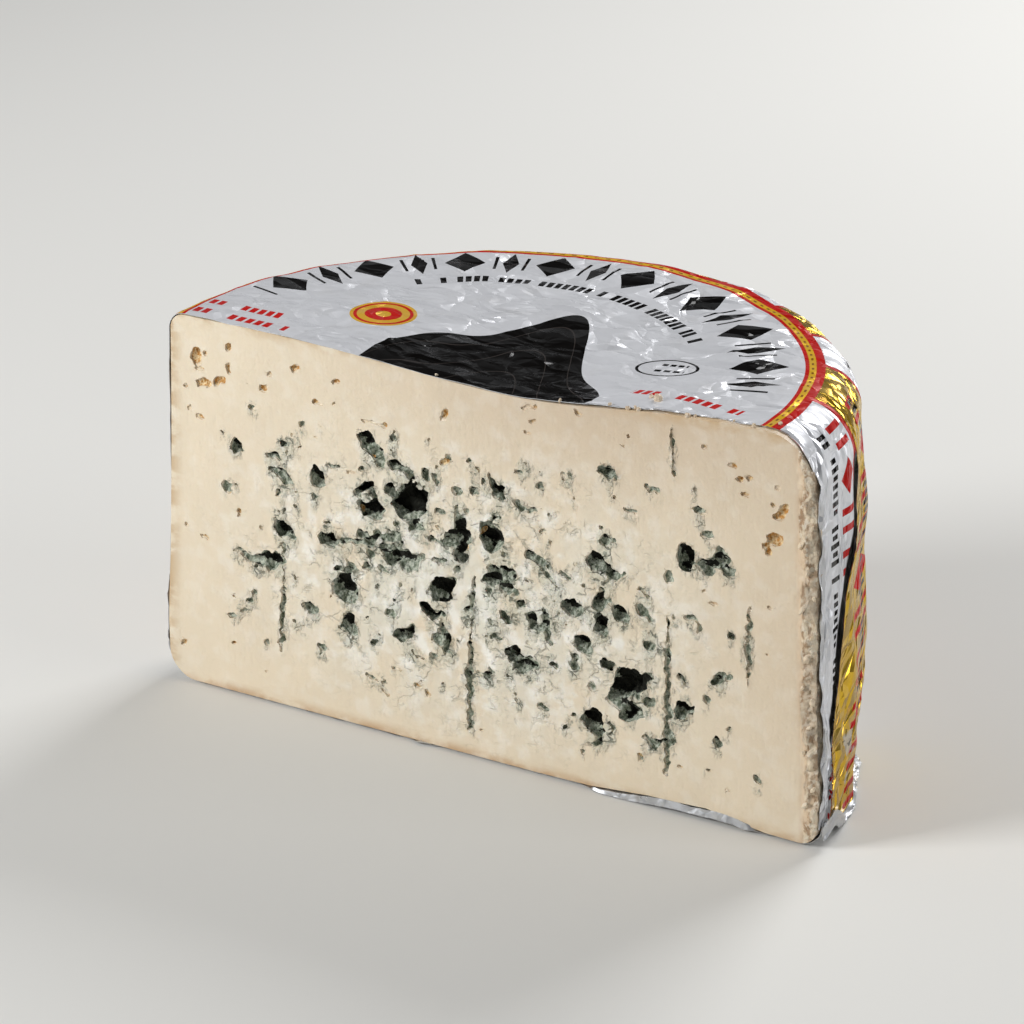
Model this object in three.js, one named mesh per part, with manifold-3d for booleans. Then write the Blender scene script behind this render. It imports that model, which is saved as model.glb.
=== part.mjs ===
// Half a wheel of blue-veined cheese, cut upright beside its middle, still in its foil.
//
// Three pieces: the cheese, with the open veins, needle channels and crumbled rind of its cut
// face; the printed foil over its top and round side; and the plain foil under its base.
// Units are millimetres and +Z is up. The cut face looks towards -Y. The origin is at the middle
// of the underside. Before it is moved there, the wheel's axis stands on x = 0, y = 0.
import * as THREE from "three";
import { mergeVertices } from "three/addons/utils/BufferGeometryUtils.js";
import Module from "manifold-3d";

const wasm = await Module();
wasm.setup();

// ---- driving dimensions ----
const HEIGHT = 107; // from the table to the top of the foil
const BASE_RADIUS = 97.5; // a soft wheel settles, so it is wider at its foot
const TOP_RADIUS = 93;
const BELLY = { height: 18, swell: 0.8, reach: 14 }; // and it bulges a little above the foot
const TOP_ROUNDING = { left: 4.2, right: 14, hold: 6 }; // the shoulder, slumped at its right end
const BASE_ROUNDING = { left: 8, right: 5, hold: 1 };
const DIP = { x: 12, y: 10, depth: 4.8, left: 34, right: 24, back: 28 }; // the top's sunken middle
const TOP_SLOPE = { x: 0.01, y: 0.008 }; // the top rises towards the right and the back
const WAVER = 0.5; // how far the wheel strays from round

const CUT_Y = -3; // the knife passed in front of the wheel's axis
const FOIL_GAP = 0.3;
const FOIL_THICKNESS = 0.5;
const BASE_FOIL_RIM = 9; // how far the base foil turns up the side
const FOIL_SEAM = 0.6; // between the base foil's rim and the printed foil above it
const PLEATS = 24;
const PLEAT_HEIGHT = 0.9;
const RAGGED_EDGE = 0.9; // how far the foil's torn edge wanders

const CHEESE_STEPS = 72; // round a whole wheel
const FOIL_STEPS = 96; // four for each pleat
const ROUNDING_STEPS = 4;
const FAR = 400; // larger than the wheel, for the blocks that cut it
const KNIFE_STEPS = 56; // across the block that tears the foil

const COLOURS = { paste: 0xe8d8b8, label: 0xd0d2d8, foil: 0xc4c6ca };

// The large open veins of the cut face, as across, up, length, breadth, tilt in degrees and
// depth. Across is measured from the wheel's axis and up from the table.
const LEFT_VEINS = [
  [-83.6, 95, 5.4, 3.4, 85, 1.8],
  [-73.4, 72, 4.4, 2.8, 70, 4],
  [-62.4, 41.4, 5.2, 2.6, 15, 5],
  [-59.3, 52, 5.5, 4, 28, 5],
  [-58.6, 66.9, 6, 3, -24, 3],
  [-51.4, 31.3, 5, 2.4, -15, 3.5],
  [-48, 68.2, 6, 5.4, 0, 3.5],
  [-44.8, 52, 5.4, 4.6, -20, 5],
  [-39, 38.2, 9, 7.4, 30, 5],
  [-38.7, 28.9, 5, 4.4, 0, 3.5],
];
const MIDDLE_VEINS = [
  [-33.2, 53.5, 5.4, 3.6, 80, 4],
  [-32.5, 68.3, 5.2, 4, 0, 6],
  [-31.3, 63, 7, 4.6, -20, 6],
  [-31, 80.8, 9.5, 3.6, -40, 4],
  [-25.8, 35.6, 5.4, 3.8, -40, 3.5],
  [-25.2, 57, 9, 2.8, 5, 2.5],
  [-22.6, 51.1, 9, 2.2, -5, 5],
  [-22, 75.4, 8, 3, -15, 2.5],
  [-22, 30, 6.4, 3.2, 5, 4],
  [-20.2, 67.3, 10.5, 8.4, 80, 8],
  [-13.8, 38, 5.2, 4, 5, 4.5],
  [-10.3, 45.4, 7, 4, -18, 6],
  [-9.1, 31, 6, 3.4, 80, 5],
  [-5.1, 59, 8, 3.8, 85, 6],
  [4.5, 62.5, 6, 4, 10, 6],
  [7, 75.8, 5.2, 2.8, -49, 5],
  [7, 53, 8, 2.8, 8, 5],
  [11, 31.8, 4.8, 4, -40, 5],
];
const RIGHT_VEINS = [
  [18.2, 41.8, 7, 2.2, -25, 4],
  [18.4, 59.8, 7.4, 2.2, -28, 3.5],
  [27.5, 49.4, 6.2, 4.2, 12, 4],
  [30.4, 39.8, 5.4, 2.8, -5, 4],
  [33.3, 18.8, 6, 4.6, -65, 5],
  [35.2, 52.4, 5, 2.6, 72, 3.5],
  [35.8, 45.9, 4.6, 3.8, 0, 3.5],
  [36.3, 62.3, 9, 4.6, -15, 4.5],
  [37.5, 87.6, 5.2, 2.8, -20, 4],
  [44.2, 31.4, 10.5, 6.4, 5, 8],
  [44.5, 26.2, 5, 3.8, -50, 6],
  [47, 52.8, 5.4, 4.6, -20, 1.8],
  [59.1, 28.4, 4.2, 3.2, 5, 4],
  [60.8, 70.2, 8.4, 4.6, -38, 6],
  [68.4, 70.4, 5.6, 2.4, -16, 5],
  [81.9, 78.6, 6, 4.8, 0, 1.8],
];
const LARGE_VEIN = 6; // from this length a vein is cut with a rounder tool

// Channels left by the piercing needles: across at the foot and the head, then from and to.
const CHANNELS = [
  { foot: -60.6, head: -59, from: 16, to: 34 },
  { foot: -2.6, head: -0.9, from: 8, to: 51 },
  { foot: 54.8, head: 54.4, from: 10, to: 52 },
  { foot: 76.7, head: 76.4, from: 40, to: 60 },
];
const CHANNEL = { radius: 0.8, sides: 7 };

// Small pits between the veins, thickest in the middle of the face.
const PITS = { count: 42, x: 5, z: 50, spreadX: 38, spreadZ: 22, least: 1.1, most: 2.8, depth: 1.5 };
const PASTE_MARGIN = 9; // the outer paste is free of them

// The crumbled rind down the right edge of the cut face: flakes that have broken away in a row.
const RIND = { flakes: 10, from: 9, to: 92, inset: 1.6, length: 11, breadth: 3.4, depth: 1.3 };

// ---- helpers ----
const { clamp, lerp, smoothstep, degToRad } = THREE.MathUtils;

function solidOf(geometry) {
  const bare = geometry.index ? geometry.toNonIndexed() : geometry.clone();
  for (const name of Object.keys(bare.attributes)) {
    if (name !== "position") bare.deleteAttribute(name);
  }
  const merged = mergeVertices(bare, 1e-3);
  const vertProperties = new Float32Array(merged.attributes.position.array);
  const triVerts = new Uint32Array(merged.index.array);
  return new wasm.Manifold(new wasm.Mesh({ numProp: 3, vertProperties, triVerts }));
}

function geometryOf(solid) {
  const mesh = solid.getMesh();
  const geometry = new THREE.BufferGeometry();
  geometry.setAttribute("position", new THREE.BufferAttribute(mesh.vertProperties, 3));
  geometry.setIndex(new THREE.BufferAttribute(mesh.triVerts, 1));
  const flat = geometry.toNonIndexed();
  flat.computeVertexNormals();
  return flat;
}

// The main body of a solid that a cut may have left with loose scraps.
function mainBody(solid) {
  return solid.decompose().reduce((best, body) => (body.volume() > best.volume() ? body : best));
}

function moveEachVertex(geometry, move) {
  const position = geometry.attributes.position;
  const point = new THREE.Vector3();
  for (let i = 0; i < position.count; i++) {
    move(point.fromBufferAttribute(position, i));
    position.setXYZ(i, point.x, point.y, point.z);
  }
}

// Seeded draws between 0 and 1, the same on every run.
function drawsFrom(seed) {
  let state = seed;
  return () => {
    state = (state * 16807) % 2147483647;
    return state / 2147483647;
  };
}

// ---- the wheel ----
// A rounding that changes from its right value to its left one round the wheel, the sooner the
// larger its hold.
function roundingAt({ left, right, hold }, angle) {
  return lerp(left, right, Math.pow(0.5 + 0.5 * Math.cos(angle), hold));
}

function sideRadius(z) {
  const away = (z - BELLY.height) / BELLY.reach;
  return lerp(BASE_RADIUS, TOP_RADIUS, z / HEIGHT) + BELLY.swell * Math.exp(-away * away);
}

// How far the top lies below HEIGHT at a place.
function topFall(x, y) {
  const reach = x < DIP.x ? DIP.left : DIP.right;
  const away = Math.hypot((x - DIP.x) / reach, (y - DIP.y) / DIP.back);
  return DIP.depth * Math.exp(-0.5 * away * away) - TOP_SLOPE.x * x - TOP_SLOPE.y * y;
}

function waverAt(angle, z) {
  return WAVER * (0.6 * Math.sin(3 * angle + 0.5) + 0.4 * Math.sin(5 * angle - 0.06 * z));
}

// The ridge that a pleat raises on the foil's side. It dies away over the shoulder.
function pleatAt(angle, z) {
  const phase = PLEATS * angle + 0.9 * Math.sin(4 * angle) + 0.02 * z;
  const belowShoulder = 1 - smoothstep(z, HEIGHT - 26, HEIGHT - 8);
  return PLEAT_HEIGHT * Math.pow(0.5 + 0.5 * Math.cos(phase), 4) * belowShoulder;
}

// The wheel's section at one angle, from the middle of its base round to the middle of its top,
// as radius and height. Its surface stands `out` beyond the cheese.
function section(angle, out) {
  const foil = FOIL_GAP + FOIL_THICKNESS;
  const low = foil - out;
  const high = HEIGHT - foil + out;
  const baseRound = roundingAt(BASE_ROUNDING, angle) + out;
  const topRound = roundingAt(TOP_ROUNDING, angle) + out;
  const wall = (z) => sideRadius(z) - foil + out;
  const points = [0, 0.35, 0.7].map((share) => [share * BASE_RADIUS, low]);
  const roundOff = (z, radius, from) => {
    for (let i = 0; i <= ROUNDING_STEPS; i++) {
      const turn = degToRad(from + (90 * i) / ROUNDING_STEPS);
      points.push([wall(z) - radius + radius * Math.cos(turn), z + radius * Math.sin(turn)]);
    }
  };
  roundOff(low + baseRound, baseRound, -90);
  for (const share of [0.15, 0.4, 0.7]) {
    const z = lerp(low + baseRound, high - topRound, share);
    points.push([wall(z), z]);
  }
  roundOff(high - topRound, topRound, 0);
  for (const share of [0.76, 0.62, 0.48, 0.34, 0.2, 0]) points.push([share * TOP_RADIUS, high]);
  return points.map(([radius, z]) => new THREE.Vector2(radius, z));
}

// A whole wheel as a solid. A foil's surface carries pleats.
function wheelSolid(out, steps, pleated) {
  const rings = section(0, out).length;
  const geometry = new THREE.LatheGeometry(section(0, out), steps);
  for (let i = 0; i <= steps; i++) {
    const angle = (2 * Math.PI * (i % steps)) / steps;
    section(angle, out).forEach(({ x: radius, y: z }, ring) => {
      const stray = waverAt(angle, z) + (pleated ? pleatAt(angle, z) : 0);
      const reach = radius + (stray * radius) / BASE_RADIUS;
      const x = reach * Math.cos(angle);
      const y = reach * Math.sin(angle);
      const fall = smoothstep(z, 0.4 * HEIGHT, HEIGHT) * topFall(x, y);
      geometry.attributes.position.setXYZ(i * rings + ring, x, y, z - fall);
    });
  }
  return solidOf(geometry);
}

// Everything in front of the cut. `ragged` is how far the block's cutting side wanders.
function knife(ragged) {
  const steps = ragged > 0 ? KNIFE_STEPS : 1;
  const block = new THREE.BoxGeometry(FAR, FAR, FAR, steps, 1, steps);
  block.translate(0, CUT_Y - FAR / 2, 0);
  moveEachVertex(block, (p) => {
    if (p.y < CUT_Y - 1) return;
    p.y += ragged * (0.4 + 0.5 * Math.sin(1.9 * p.x + 0.7 * p.z) * Math.cos(0.8 * p.x - 1.3 * p.z));
  });
  return solidOf(block);
}

function slab(from, to) {
  const block = new THREE.BoxGeometry(FAR, FAR, to - from);
  block.translate(0, 0, (from + to) / 2);
  return solidOf(block);
}

// ---- the tools that open the cut face ----
// A lumpy blade that scoops out one vein.
function veinTool([across, up, length, breadth, tilt, depth], index) {
  const tool = new THREE.IcosahedronGeometry(1, length >= LARGE_VEIN ? 2 : 1);
  moveEachVertex(tool, (p) => {
    const lump = Math.sin(4.1 * p.x + 1.7 * index) * Math.cos(3.3 * p.z - 1.7 * index);
    p.multiplyScalar(1 + 0.2 * lump);
    p.set((p.x * length) / 2, p.y * depth, (p.z * breadth) / 2);
  });
  tool.rotateY(-degToRad(tilt));
  tool.translate(across, CUT_Y, up);
  return solidOf(tool);
}

function channelTool({ foot, head, from, to }) {
  const tool = new THREE.CylinderGeometry(CHANNEL.radius, CHANNEL.radius / 2, to - from, CHANNEL.sides);
  tool.rotateX(Math.PI / 2);
  tool.rotateY(Math.atan2(head - foot, to - from));
  tool.translate((foot + head) / 2, CUT_Y, (from + to) / 2);
  return solidOf(tool);
}

function pitTool(x, z, width, height, depth) {
  const tool = new THREE.IcosahedronGeometry(1, 0);
  tool.scale(width / 2, depth, height / 2);
  tool.translate(x, CUT_Y, z);
  return solidOf(tool);
}

function pitTools() {
  const draw = drawsFrom(31);
  const around = (middle, spread) => middle + spread * (draw() + draw() + draw() - 1.5) * 1.6;
  const farthest = TOP_RADIUS - PASTE_MARGIN;
  return Array.from({ length: PITS.count }, () => {
    const x = clamp(around(PITS.x, PITS.spreadX), -farthest, farthest);
    const z = clamp(around(PITS.z, PITS.spreadZ), PASTE_MARGIN, HEIGHT - PASTE_MARGIN);
    const width = lerp(PITS.least, PITS.most, draw());
    return pitTool(x, z, width, width * lerp(0.5, 1.1, draw()), PITS.depth);
  });
}

function rindTools() {
  const draw = drawsFrom(7);
  return Array.from({ length: RIND.flakes }, (_, i) => {
    const z = lerp(RIND.from, RIND.to, (i + 0.6 * draw()) / RIND.flakes);
    const x = sideRadius(z) - RIND.inset - 1.2 * draw();
    const length = RIND.length * lerp(0.7, 1.2, draw());
    const breadth = RIND.breadth * lerp(0.6, 1.2, draw());
    return veinTool([x, z, length, breadth, lerp(75, 105, draw()), RIND.depth * lerp(0.6, 1.2, draw())], i);
  });
}

// ---- the three pieces ----
function cheese() {
  const veins = [...LEFT_VEINS, ...MIDDLE_VEINS, ...RIGHT_VEINS];
  const tools = [...veins.map(veinTool), ...CHANNELS.map(channelTool), ...pitTools(), ...rindTools()];
  const half = wheelSolid(0, CHEESE_STEPS, false).subtract(knife(0));
  return mainBody(half.subtract(wasm.Manifold.union(tools)));
}

function foilShell() {
  const outside = wheelSolid(FOIL_GAP + FOIL_THICKNESS, FOIL_STEPS, true);
  const inside = wheelSolid(FOIL_GAP, FOIL_STEPS, true);
  return outside.subtract(inside).subtract(knife(RAGGED_EDGE));
}

const shell = foilShell();
const labelFoil = mainBody(shell.intersect(slab(BASE_FOIL_RIM + FOIL_SEAM, FAR)));
const baseFoil = mainBody(shell.intersect(slab(-FAR, BASE_FOIL_RIM)));

const wedge = new THREE.Group();
function addPiece(name, solid, color, roughness, metalness) {
  const material = new THREE.MeshStandardMaterial({ color, roughness, metalness });
  const mesh = new THREE.Mesh(geometryOf(solid), material);
  mesh.name = name;
  wedge.add(mesh);
}
addPiece("cheese", cheese(), COLOURS.paste, 0.6, 0);
addPiece("foil_label", labelFoil, COLOURS.label, 0.35, 0.2);
addPiece("foil_base", baseFoil, COLOURS.foil, 0.25, 1);

// The origin goes to the middle of the underside.
const box = new THREE.Box3().setFromObject(wedge);
const middle = box.getCenter(new THREE.Vector3());
wedge.position.set(-middle.x, -middle.y, -box.min.z);

export default wedge;
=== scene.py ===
# %% [markdown]
# # Half a wheel of blue cheese, still in its foil
# A soft blue-veined cheese is made as a drum, pierced with needles so that air lets the mould
# grow, and wrapped in printed foil. This one is cut upright through the middle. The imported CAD
# model gives the size and place of its three pieces, and each of them gets its finished shape
# and surface here: the cheese with its torn hollows, the printed foil, and the plain foil under it.

# %% The frame and a few tools
import math
from contextlib import contextmanager
from functools import partial

import bpy
import numpy as np
from mathutils import Euler, Matrix, Vector, noise


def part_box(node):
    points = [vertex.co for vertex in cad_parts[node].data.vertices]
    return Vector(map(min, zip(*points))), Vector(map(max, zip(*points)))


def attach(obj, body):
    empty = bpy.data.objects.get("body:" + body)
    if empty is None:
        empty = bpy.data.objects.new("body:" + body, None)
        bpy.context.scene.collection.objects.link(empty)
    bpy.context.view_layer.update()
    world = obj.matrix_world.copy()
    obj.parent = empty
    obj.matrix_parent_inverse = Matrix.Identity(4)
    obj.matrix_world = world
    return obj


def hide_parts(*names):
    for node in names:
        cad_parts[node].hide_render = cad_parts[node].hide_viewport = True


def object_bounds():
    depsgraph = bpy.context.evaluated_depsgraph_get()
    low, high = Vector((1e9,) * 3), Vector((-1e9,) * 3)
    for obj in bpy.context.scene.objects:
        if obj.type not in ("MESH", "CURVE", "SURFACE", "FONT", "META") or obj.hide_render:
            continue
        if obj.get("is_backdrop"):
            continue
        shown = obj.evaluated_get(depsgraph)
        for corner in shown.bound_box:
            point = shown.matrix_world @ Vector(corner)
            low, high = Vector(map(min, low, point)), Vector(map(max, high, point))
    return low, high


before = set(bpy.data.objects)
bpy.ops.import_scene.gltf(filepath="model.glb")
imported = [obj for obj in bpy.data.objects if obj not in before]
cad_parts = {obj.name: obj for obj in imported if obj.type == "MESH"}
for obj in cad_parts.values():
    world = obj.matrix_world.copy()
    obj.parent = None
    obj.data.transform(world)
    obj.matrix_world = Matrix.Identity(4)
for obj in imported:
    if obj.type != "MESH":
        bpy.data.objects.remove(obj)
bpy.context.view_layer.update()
bpy.ops.object.select_all(action="DESELECT")

MM = 0.001  # a millimetre in Blender's metres
cut_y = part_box("cheese")[0].y  # the plane of the cut, which faces -Y


# %% [markdown]
# ## Small helpers
# Colours are picked as sRGB hex values, but Blender mixes light in linear numbers, so one function
# converts them. Others add a shader node and fill its sockets in one line, hold edit mode open for a
# few operators, and apply a modifier, which keeps the long recipes readable. All the points of a
# mesh are read and moved at once, because a wheel's slump or a crease follows a formula.

# %% Colour, node and mesh helpers
def colour(code):
    """A hex colour such as "#E8D8B8" as linear red, green, blue and alpha."""
    shares = [int(code[i : i + 2], 16) / 255 for i in (1, 3, 5)]
    return tuple(s / 12.92 if s <= 0.04045 else ((s + 0.055) / 1.055) ** 2.4 for s in shares) + (1,)


MODES = {
    "Math": "operation", "VectorMath": "operation", "Mix": "data_type", "MapRange": "interpolation_type",
    "Mapping": "vector_type", "TexWhiteNoise": "noise_dimensions",
}


def fill(socket, value):
    """Gives a socket a number, a hex colour, or a link from a socket or from a node's first open output."""
    if isinstance(value, bpy.types.Node):
        value = next(output for output in value.outputs if output.enabled)
    if isinstance(value, bpy.types.NodeSocket):
        socket.id_data.links.new(value, socket)
    else:
        socket.default_value = colour(value) if isinstance(value, str) else value


def add_node(tree, kind, *values, **settings):
    """Adds one node: its kind and mode, such as "Mix RGBA", then what its open sockets get, in order.
    A kind in capitals, such as "MULTIPLY", is an operation of the Math node."""
    kind, _, mode = ("Math " * kind.isupper() + kind).partition(" ")
    node = tree.nodes.new("ShaderNode" + kind)
    if mode:
        setattr(node, MODES[kind], mode)
    for name, value in settings.items():
        setattr(node, name, value)
    for socket, value in zip([s for s in node.inputs if s.enabled], values):
        fill(socket, value)
    return node


def feed(node, values):
    """Fills sockets by name."""
    for name, value in values.items():
        fill(node.inputs[name], value)


def new_material(name):
    """A node material, its tree's node adder and its shader."""
    made = bpy.data.materials.new(name)
    made.use_nodes = True
    return made, partial(add_node, made.node_tree), made.node_tree.nodes["Principled BSDF"]


def only(obj):
    """Makes obj the one selected and active object, so that operators act on it alone."""
    bpy.ops.object.select_all(action="DESELECT")
    obj.select_set(True)
    bpy.context.view_layer.objects.active = obj


@contextmanager
def editing(obj):
    """Edit mode on obj for the operators of a with block."""
    only(obj)
    bpy.ops.object.mode_set(mode="EDIT")
    yield
    bpy.ops.object.mode_set(mode="OBJECT")


def choose(obj, kind, chosen):
    """Selects the faces or points for which chosen is true, and nothing else."""
    with editing(obj):
        bpy.ops.mesh.select_mode(type=kind)
        bpy.ops.mesh.select_all(action="DESELECT")
    (obj.data.polygons if kind == "FACE" else obj.data.vertices).foreach_set("select", chosen)


def read(items, name, width=3, kind=float):
    """What all points or corners of a mesh say under one name, as an array."""
    values = np.empty(len(items) * width, kind)
    items.foreach_get(name, values)
    return values.reshape(-1, width) if width > 1 else values


def points_of(obj):
    return read(obj.data.vertices, "co")


def set_points(obj, points):
    obj.data.vertices.foreach_set("co", np.ascontiguousarray(points, float).ravel())
    obj.data.update()


def store(obj, **layers):
    """Stores numbers for each point, which a material reads by name."""
    for name, values in layers.items():
        layer = obj.data.attributes.new(name, "FLOAT", "POINT")
        layer.data.foreach_set("value", np.asarray(values, np.float32))


def modify(obj, kind, **settings):
    """Adds a modifier with its settings and applies it."""
    only(obj)
    modifier = obj.modifiers.new(kind.lower(), kind)
    for name, value in settings.items():
        setattr(modifier, name, value)
    bpy.ops.object.modifier_apply(modifier=modifier.name)


def displace(obj, name, size, strength, middle=0.5, coords="GLOBAL", **settings):
    """Moves points by a cloud texture, with size and strength in millimetres."""
    texture = bpy.data.textures.new(name, "CLOUDS")
    texture.noise_scale = size * MM
    modify(obj, "DISPLACE", texture=texture, texture_coords=coords, strength=strength * MM, mid_level=middle,
           **settings)


def join(parts):
    """Makes one object of several, with its transform applied."""
    only(parts[0])
    for part in parts:
        part.select_set(True)
    bpy.ops.object.join()
    bpy.ops.object.transform_apply(location=True, rotation=True, scale=True)
    return bpy.context.object


def shade(obj, degrees):
    only(obj)
    bpy.ops.object.shade_smooth_by_angle(angle=math.radians(degrees))


def faces_of(obj):
    return f"{obj.name}: {sum(len(p.vertices) - 2 for p in obj.data.polygons):,} triangles"


# %% [markdown]
# ## The camera and the studio
# The camera stands in front and to the right, a little above, and looks across the cut. A long
# lens keeps the wheel's proportions calm. The floor is plain and pale. One large soft light in
# front on the left shows the cut, one behind on the right gives the foil its gleam, and the pale
# surroundings fill the shadows, as white boards do round a small product table.

# %% Camera, floor and lights
CAMERA_PLACE = (0.41143, -0.72929, 0.40605)
CAMERA_AZIMUTH = math.radians(30.59)
CAMERA_ELEVATION = math.radians(23.01)
CAMERA_ROLL = math.radians(-0.08)
CAMERA_LENS = 121.5

bpy.ops.object.camera_add(location=CAMERA_PLACE)
camera = bpy.context.object
aim = Euler((math.pi / 2 - CAMERA_ELEVATION, 0, CAMERA_AZIMUTH)).to_matrix()
camera.rotation_euler = (aim @ Matrix.Rotation(CAMERA_ROLL, 3, "Z")).to_euler()
camera.data.lens = CAMERA_LENS
camera.data.sensor_width = 36
bpy.context.scene.camera = camera


def soft_light(name, place, target, width, power, tint="#FFFFFF"):
    bpy.ops.object.light_add(type="AREA", location=place)
    light = bpy.context.object
    light.name = name
    light.rotation_euler = (Vector(target) - Vector(place)).to_track_quat("-Z", "Y").to_euler()
    light.data.shape = "SQUARE"
    light.data.size = width
    light.data.energy = power
    light.data.color = colour(tint)[:3]


soft_light("front_softbox", (-0.75, -0.85, 0.62), (-0.04, 0, 0.03), 0.42, 11.3)
soft_light("back_softbox", (0.15, 1.1, 0.85), (0.02, 0.03, 0.1), 0.6, 12)
soft_light("side_fill", (0.95, 0.12, 0.52), (0, 0, 0.05), 0.45, 2.3)

bpy.ops.mesh.primitive_plane_add(size=8, location=(0, 0, 0))
floor = bpy.context.object
floor.name = "floor"
paper, _, surface = new_material("matt white studio paper")  # no gloss, so it shows soft shadows only
feed(surface, {"Base Color": "#E4E3DF", "Roughness": 0.9})
floor.data.materials.append(paper)
floor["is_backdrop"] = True

surroundings = bpy.data.worlds.new("pale studio")
surroundings.use_nodes = True
feed(surroundings.node_tree.nodes["Background"], {"Color": "#E9EBEE", "Strength": 0.2})
bpy.context.scene.world = surroundings
bpy.context.scene.view_settings.view_transform = "Standard"  # keeps the cream of the paste true
print("camera at", CAMERA_PLACE, "with a lens of", CAMERA_LENS, "mm")


# %% [markdown]
# ## The form of the wheel
# A young wheel settles under its own weight, so it is a little wider at its foot, bulges above it,
# and sinks in the middle of its top. These few functions say so in millimetres, with the wheel's
# axis upright on x = 0, y = 0. The cheese and both foils are laid on this one form, each a
# little further out, and so they fit each other everywhere.

# %% Sizes and form functions, in millimetres
HEIGHT = 107
BASE_RADIUS = 97.5
TOP_RADIUS = 93
CUT = -3  # the cut passes in front of the axis
FOIL_ROOM = 0.8  # what the foil and its gap take off the wheel's outside size
PLEATS = 24


def smooth(values, low, high):
    share = np.clip((values - low) / (high - low), 0, 1)
    return share * share * (3 - 2 * share)


def side_radius(z):
    """Narrower towards the top, with a slight bulge low down."""
    return BASE_RADIUS + (TOP_RADIUS - BASE_RADIUS) * z / HEIGHT + 0.8 * np.exp(-(((z - 18) / 14) ** 2))


def top_rounding(angle):
    """Radius of the upper edge, which is soft at the right of the cut and sharper elsewhere."""
    return 4.2 + (14 - 4.2) * (0.5 + 0.5 * np.cos(angle)) ** 6


def base_rounding(angle):
    return 8 + (5 - 8) * (0.5 + 0.5 * np.cos(angle))


def settle(x, y, z):
    """Lowers the upper part over the sunken middle of the top."""
    away = np.hypot((x - 12) / np.where(x < 12, 34, 24), (y - 10) / 28)
    fall = 4.8 * np.exp(-0.5 * away**2) - 0.01 * x - 0.008 * y
    return z - smooth(z, 0.4 * HEIGHT, HEIGHT) * fall


def lifted_edge(x, y):
    """How far the foot of the cheese stands off the table, right of the middle of the cut."""
    return 2.5 * smooth(x, 26, 60) * (1 - smooth(x, 74, 84)) * smooth(-y, -26, 0)


def waver(angle, z):
    """How far the wall strays from round. Right of the cut its foot is tucked in."""
    tucked = 4.5 * np.exp(-(((angle - 0.64) / 0.42) ** 2)) * (1 - smooth(z, 8, 40))
    return 0.5 * (0.6 * np.sin(3 * angle + 0.5) + 0.4 * np.sin(5 * angle - 0.06 * z)) - tucked


def low_hem(x, depth):
    """Where the hem of the plain foil stays low: on the right, away from the cut."""
    return smooth(x, -10, 40) * smooth(depth, 8, 18)


def pleat(angle, z):
    """How far the gathered foil stands out, in upright folds that end under the shoulder."""
    phase = PLEATS * angle + 0.9 * np.sin(4 * angle) + 0.02 * z
    return 0.9 * (0.5 + 0.5 * np.cos(phase)) ** 4 * (1 - smooth(z, HEIGHT - 26, HEIGHT - 8))


def round_the_edge(distance, start, way, rounding, out):
    """Radius and height at a distance along the surface from the middle of a flat at height start."""
    flat = side_radius(start + way * rounding) - FOIL_ROOM + out - rounding
    turn = np.clip((distance - flat) / rounding, 0, math.pi / 2)
    past = np.maximum(distance - flat - rounding * math.pi / 2, 0)
    z = start + way * rounding * (1 - np.cos(turn)) + way * past
    on_side = side_radius(z) - FOIL_ROOM + out
    radius = np.where(past > 0, on_side, flat + rounding * np.sin(turn))
    return np.where(distance < flat, distance, radius), np.where(distance < flat, start, z)


def down_the_side(distance, angle, out):
    return round_the_edge(distance, HEIGHT - FOIL_ROOM + out, -1, top_rounding(angle) + out, out)


def up_from_base(distance, angle, out):
    return round_the_edge(distance, FOIL_ROOM - out, 1, base_rounding(angle) + out, out)


def in_the_part(x, y, z):
    """Millimetres about the axis as metres in the part's frame."""
    return np.column_stack((x * MM, cut_y + (y - CUT) * MM, z * MM))


# %% [markdown]
# ## The body of the cheese
# The drum starts as a sphere of rings and segments, because a sphere is already closed at both
# ends. Its rings are moved onto the wheel's section, close together at the roundings and wide
# apart where the wall is straight. The cut needs far finer faces than the hidden sides, so it
# comes from a block whose front is a fine grid: a Boolean keeps what drum and block share.

# %% The drum
SEGMENTS = 160
CURVE = np.linspace(0, 1, 9)  # the rings of a rounding


def wheel_section(angle):
    """Points from the middle of the top round to the middle of the base, as radius and height."""
    top, base = top_rounding(angle), base_rounding(angle)
    high = HEIGHT - FOIL_ROOM
    top_flat = side_radius(high - top) - FOIL_ROOM - top
    base_flat = side_radius(FOIL_ROOM + base) - FOIL_ROOM - base
    over_top = np.append(np.linspace(0, 0.97, 17) * top_flat, top_flat + CURVE * top * math.pi / 2)
    under = np.append(base_flat + CURVE[::-1] * base * math.pi / 2, np.linspace(0.9, 0, 6) * base_flat)
    wall = np.linspace(high - top, FOIL_ROOM + base, 12)[1:-1]
    straight = (side_radius(wall) - FOIL_ROOM, wall)
    return np.hstack((down_the_side(over_top, angle, 0), straight, up_from_base(under, angle, 0)))


rings = wheel_section(0.0).shape[1]
bpy.ops.mesh.primitive_uv_sphere_add(segments=SEGMENTS, ring_count=rings - 1, radius=1, location=(0, 0, 0))
cheese = bpy.context.object
cheese.name = "blue_cheese"
x, y, z = points_of(cheese).T
ring = np.rint(np.arccos(np.clip(z, -1, 1)) / math.pi * (rings - 1)).astype(int)
angle = np.arctan2(y, x)
radius, z = np.array([wheel_section(a)[:, r] for r, a in zip(ring, angle)]).T
radius = radius * (1 + waver(angle, z) / BASE_RADIUS)
x, y = radius * np.cos(angle), radius * np.sin(angle)
set_points(cheese, in_the_part(x, y, settle(x, y, z) + lifted_edge(x, y) * smooth(-z, -9, 0)))


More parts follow.
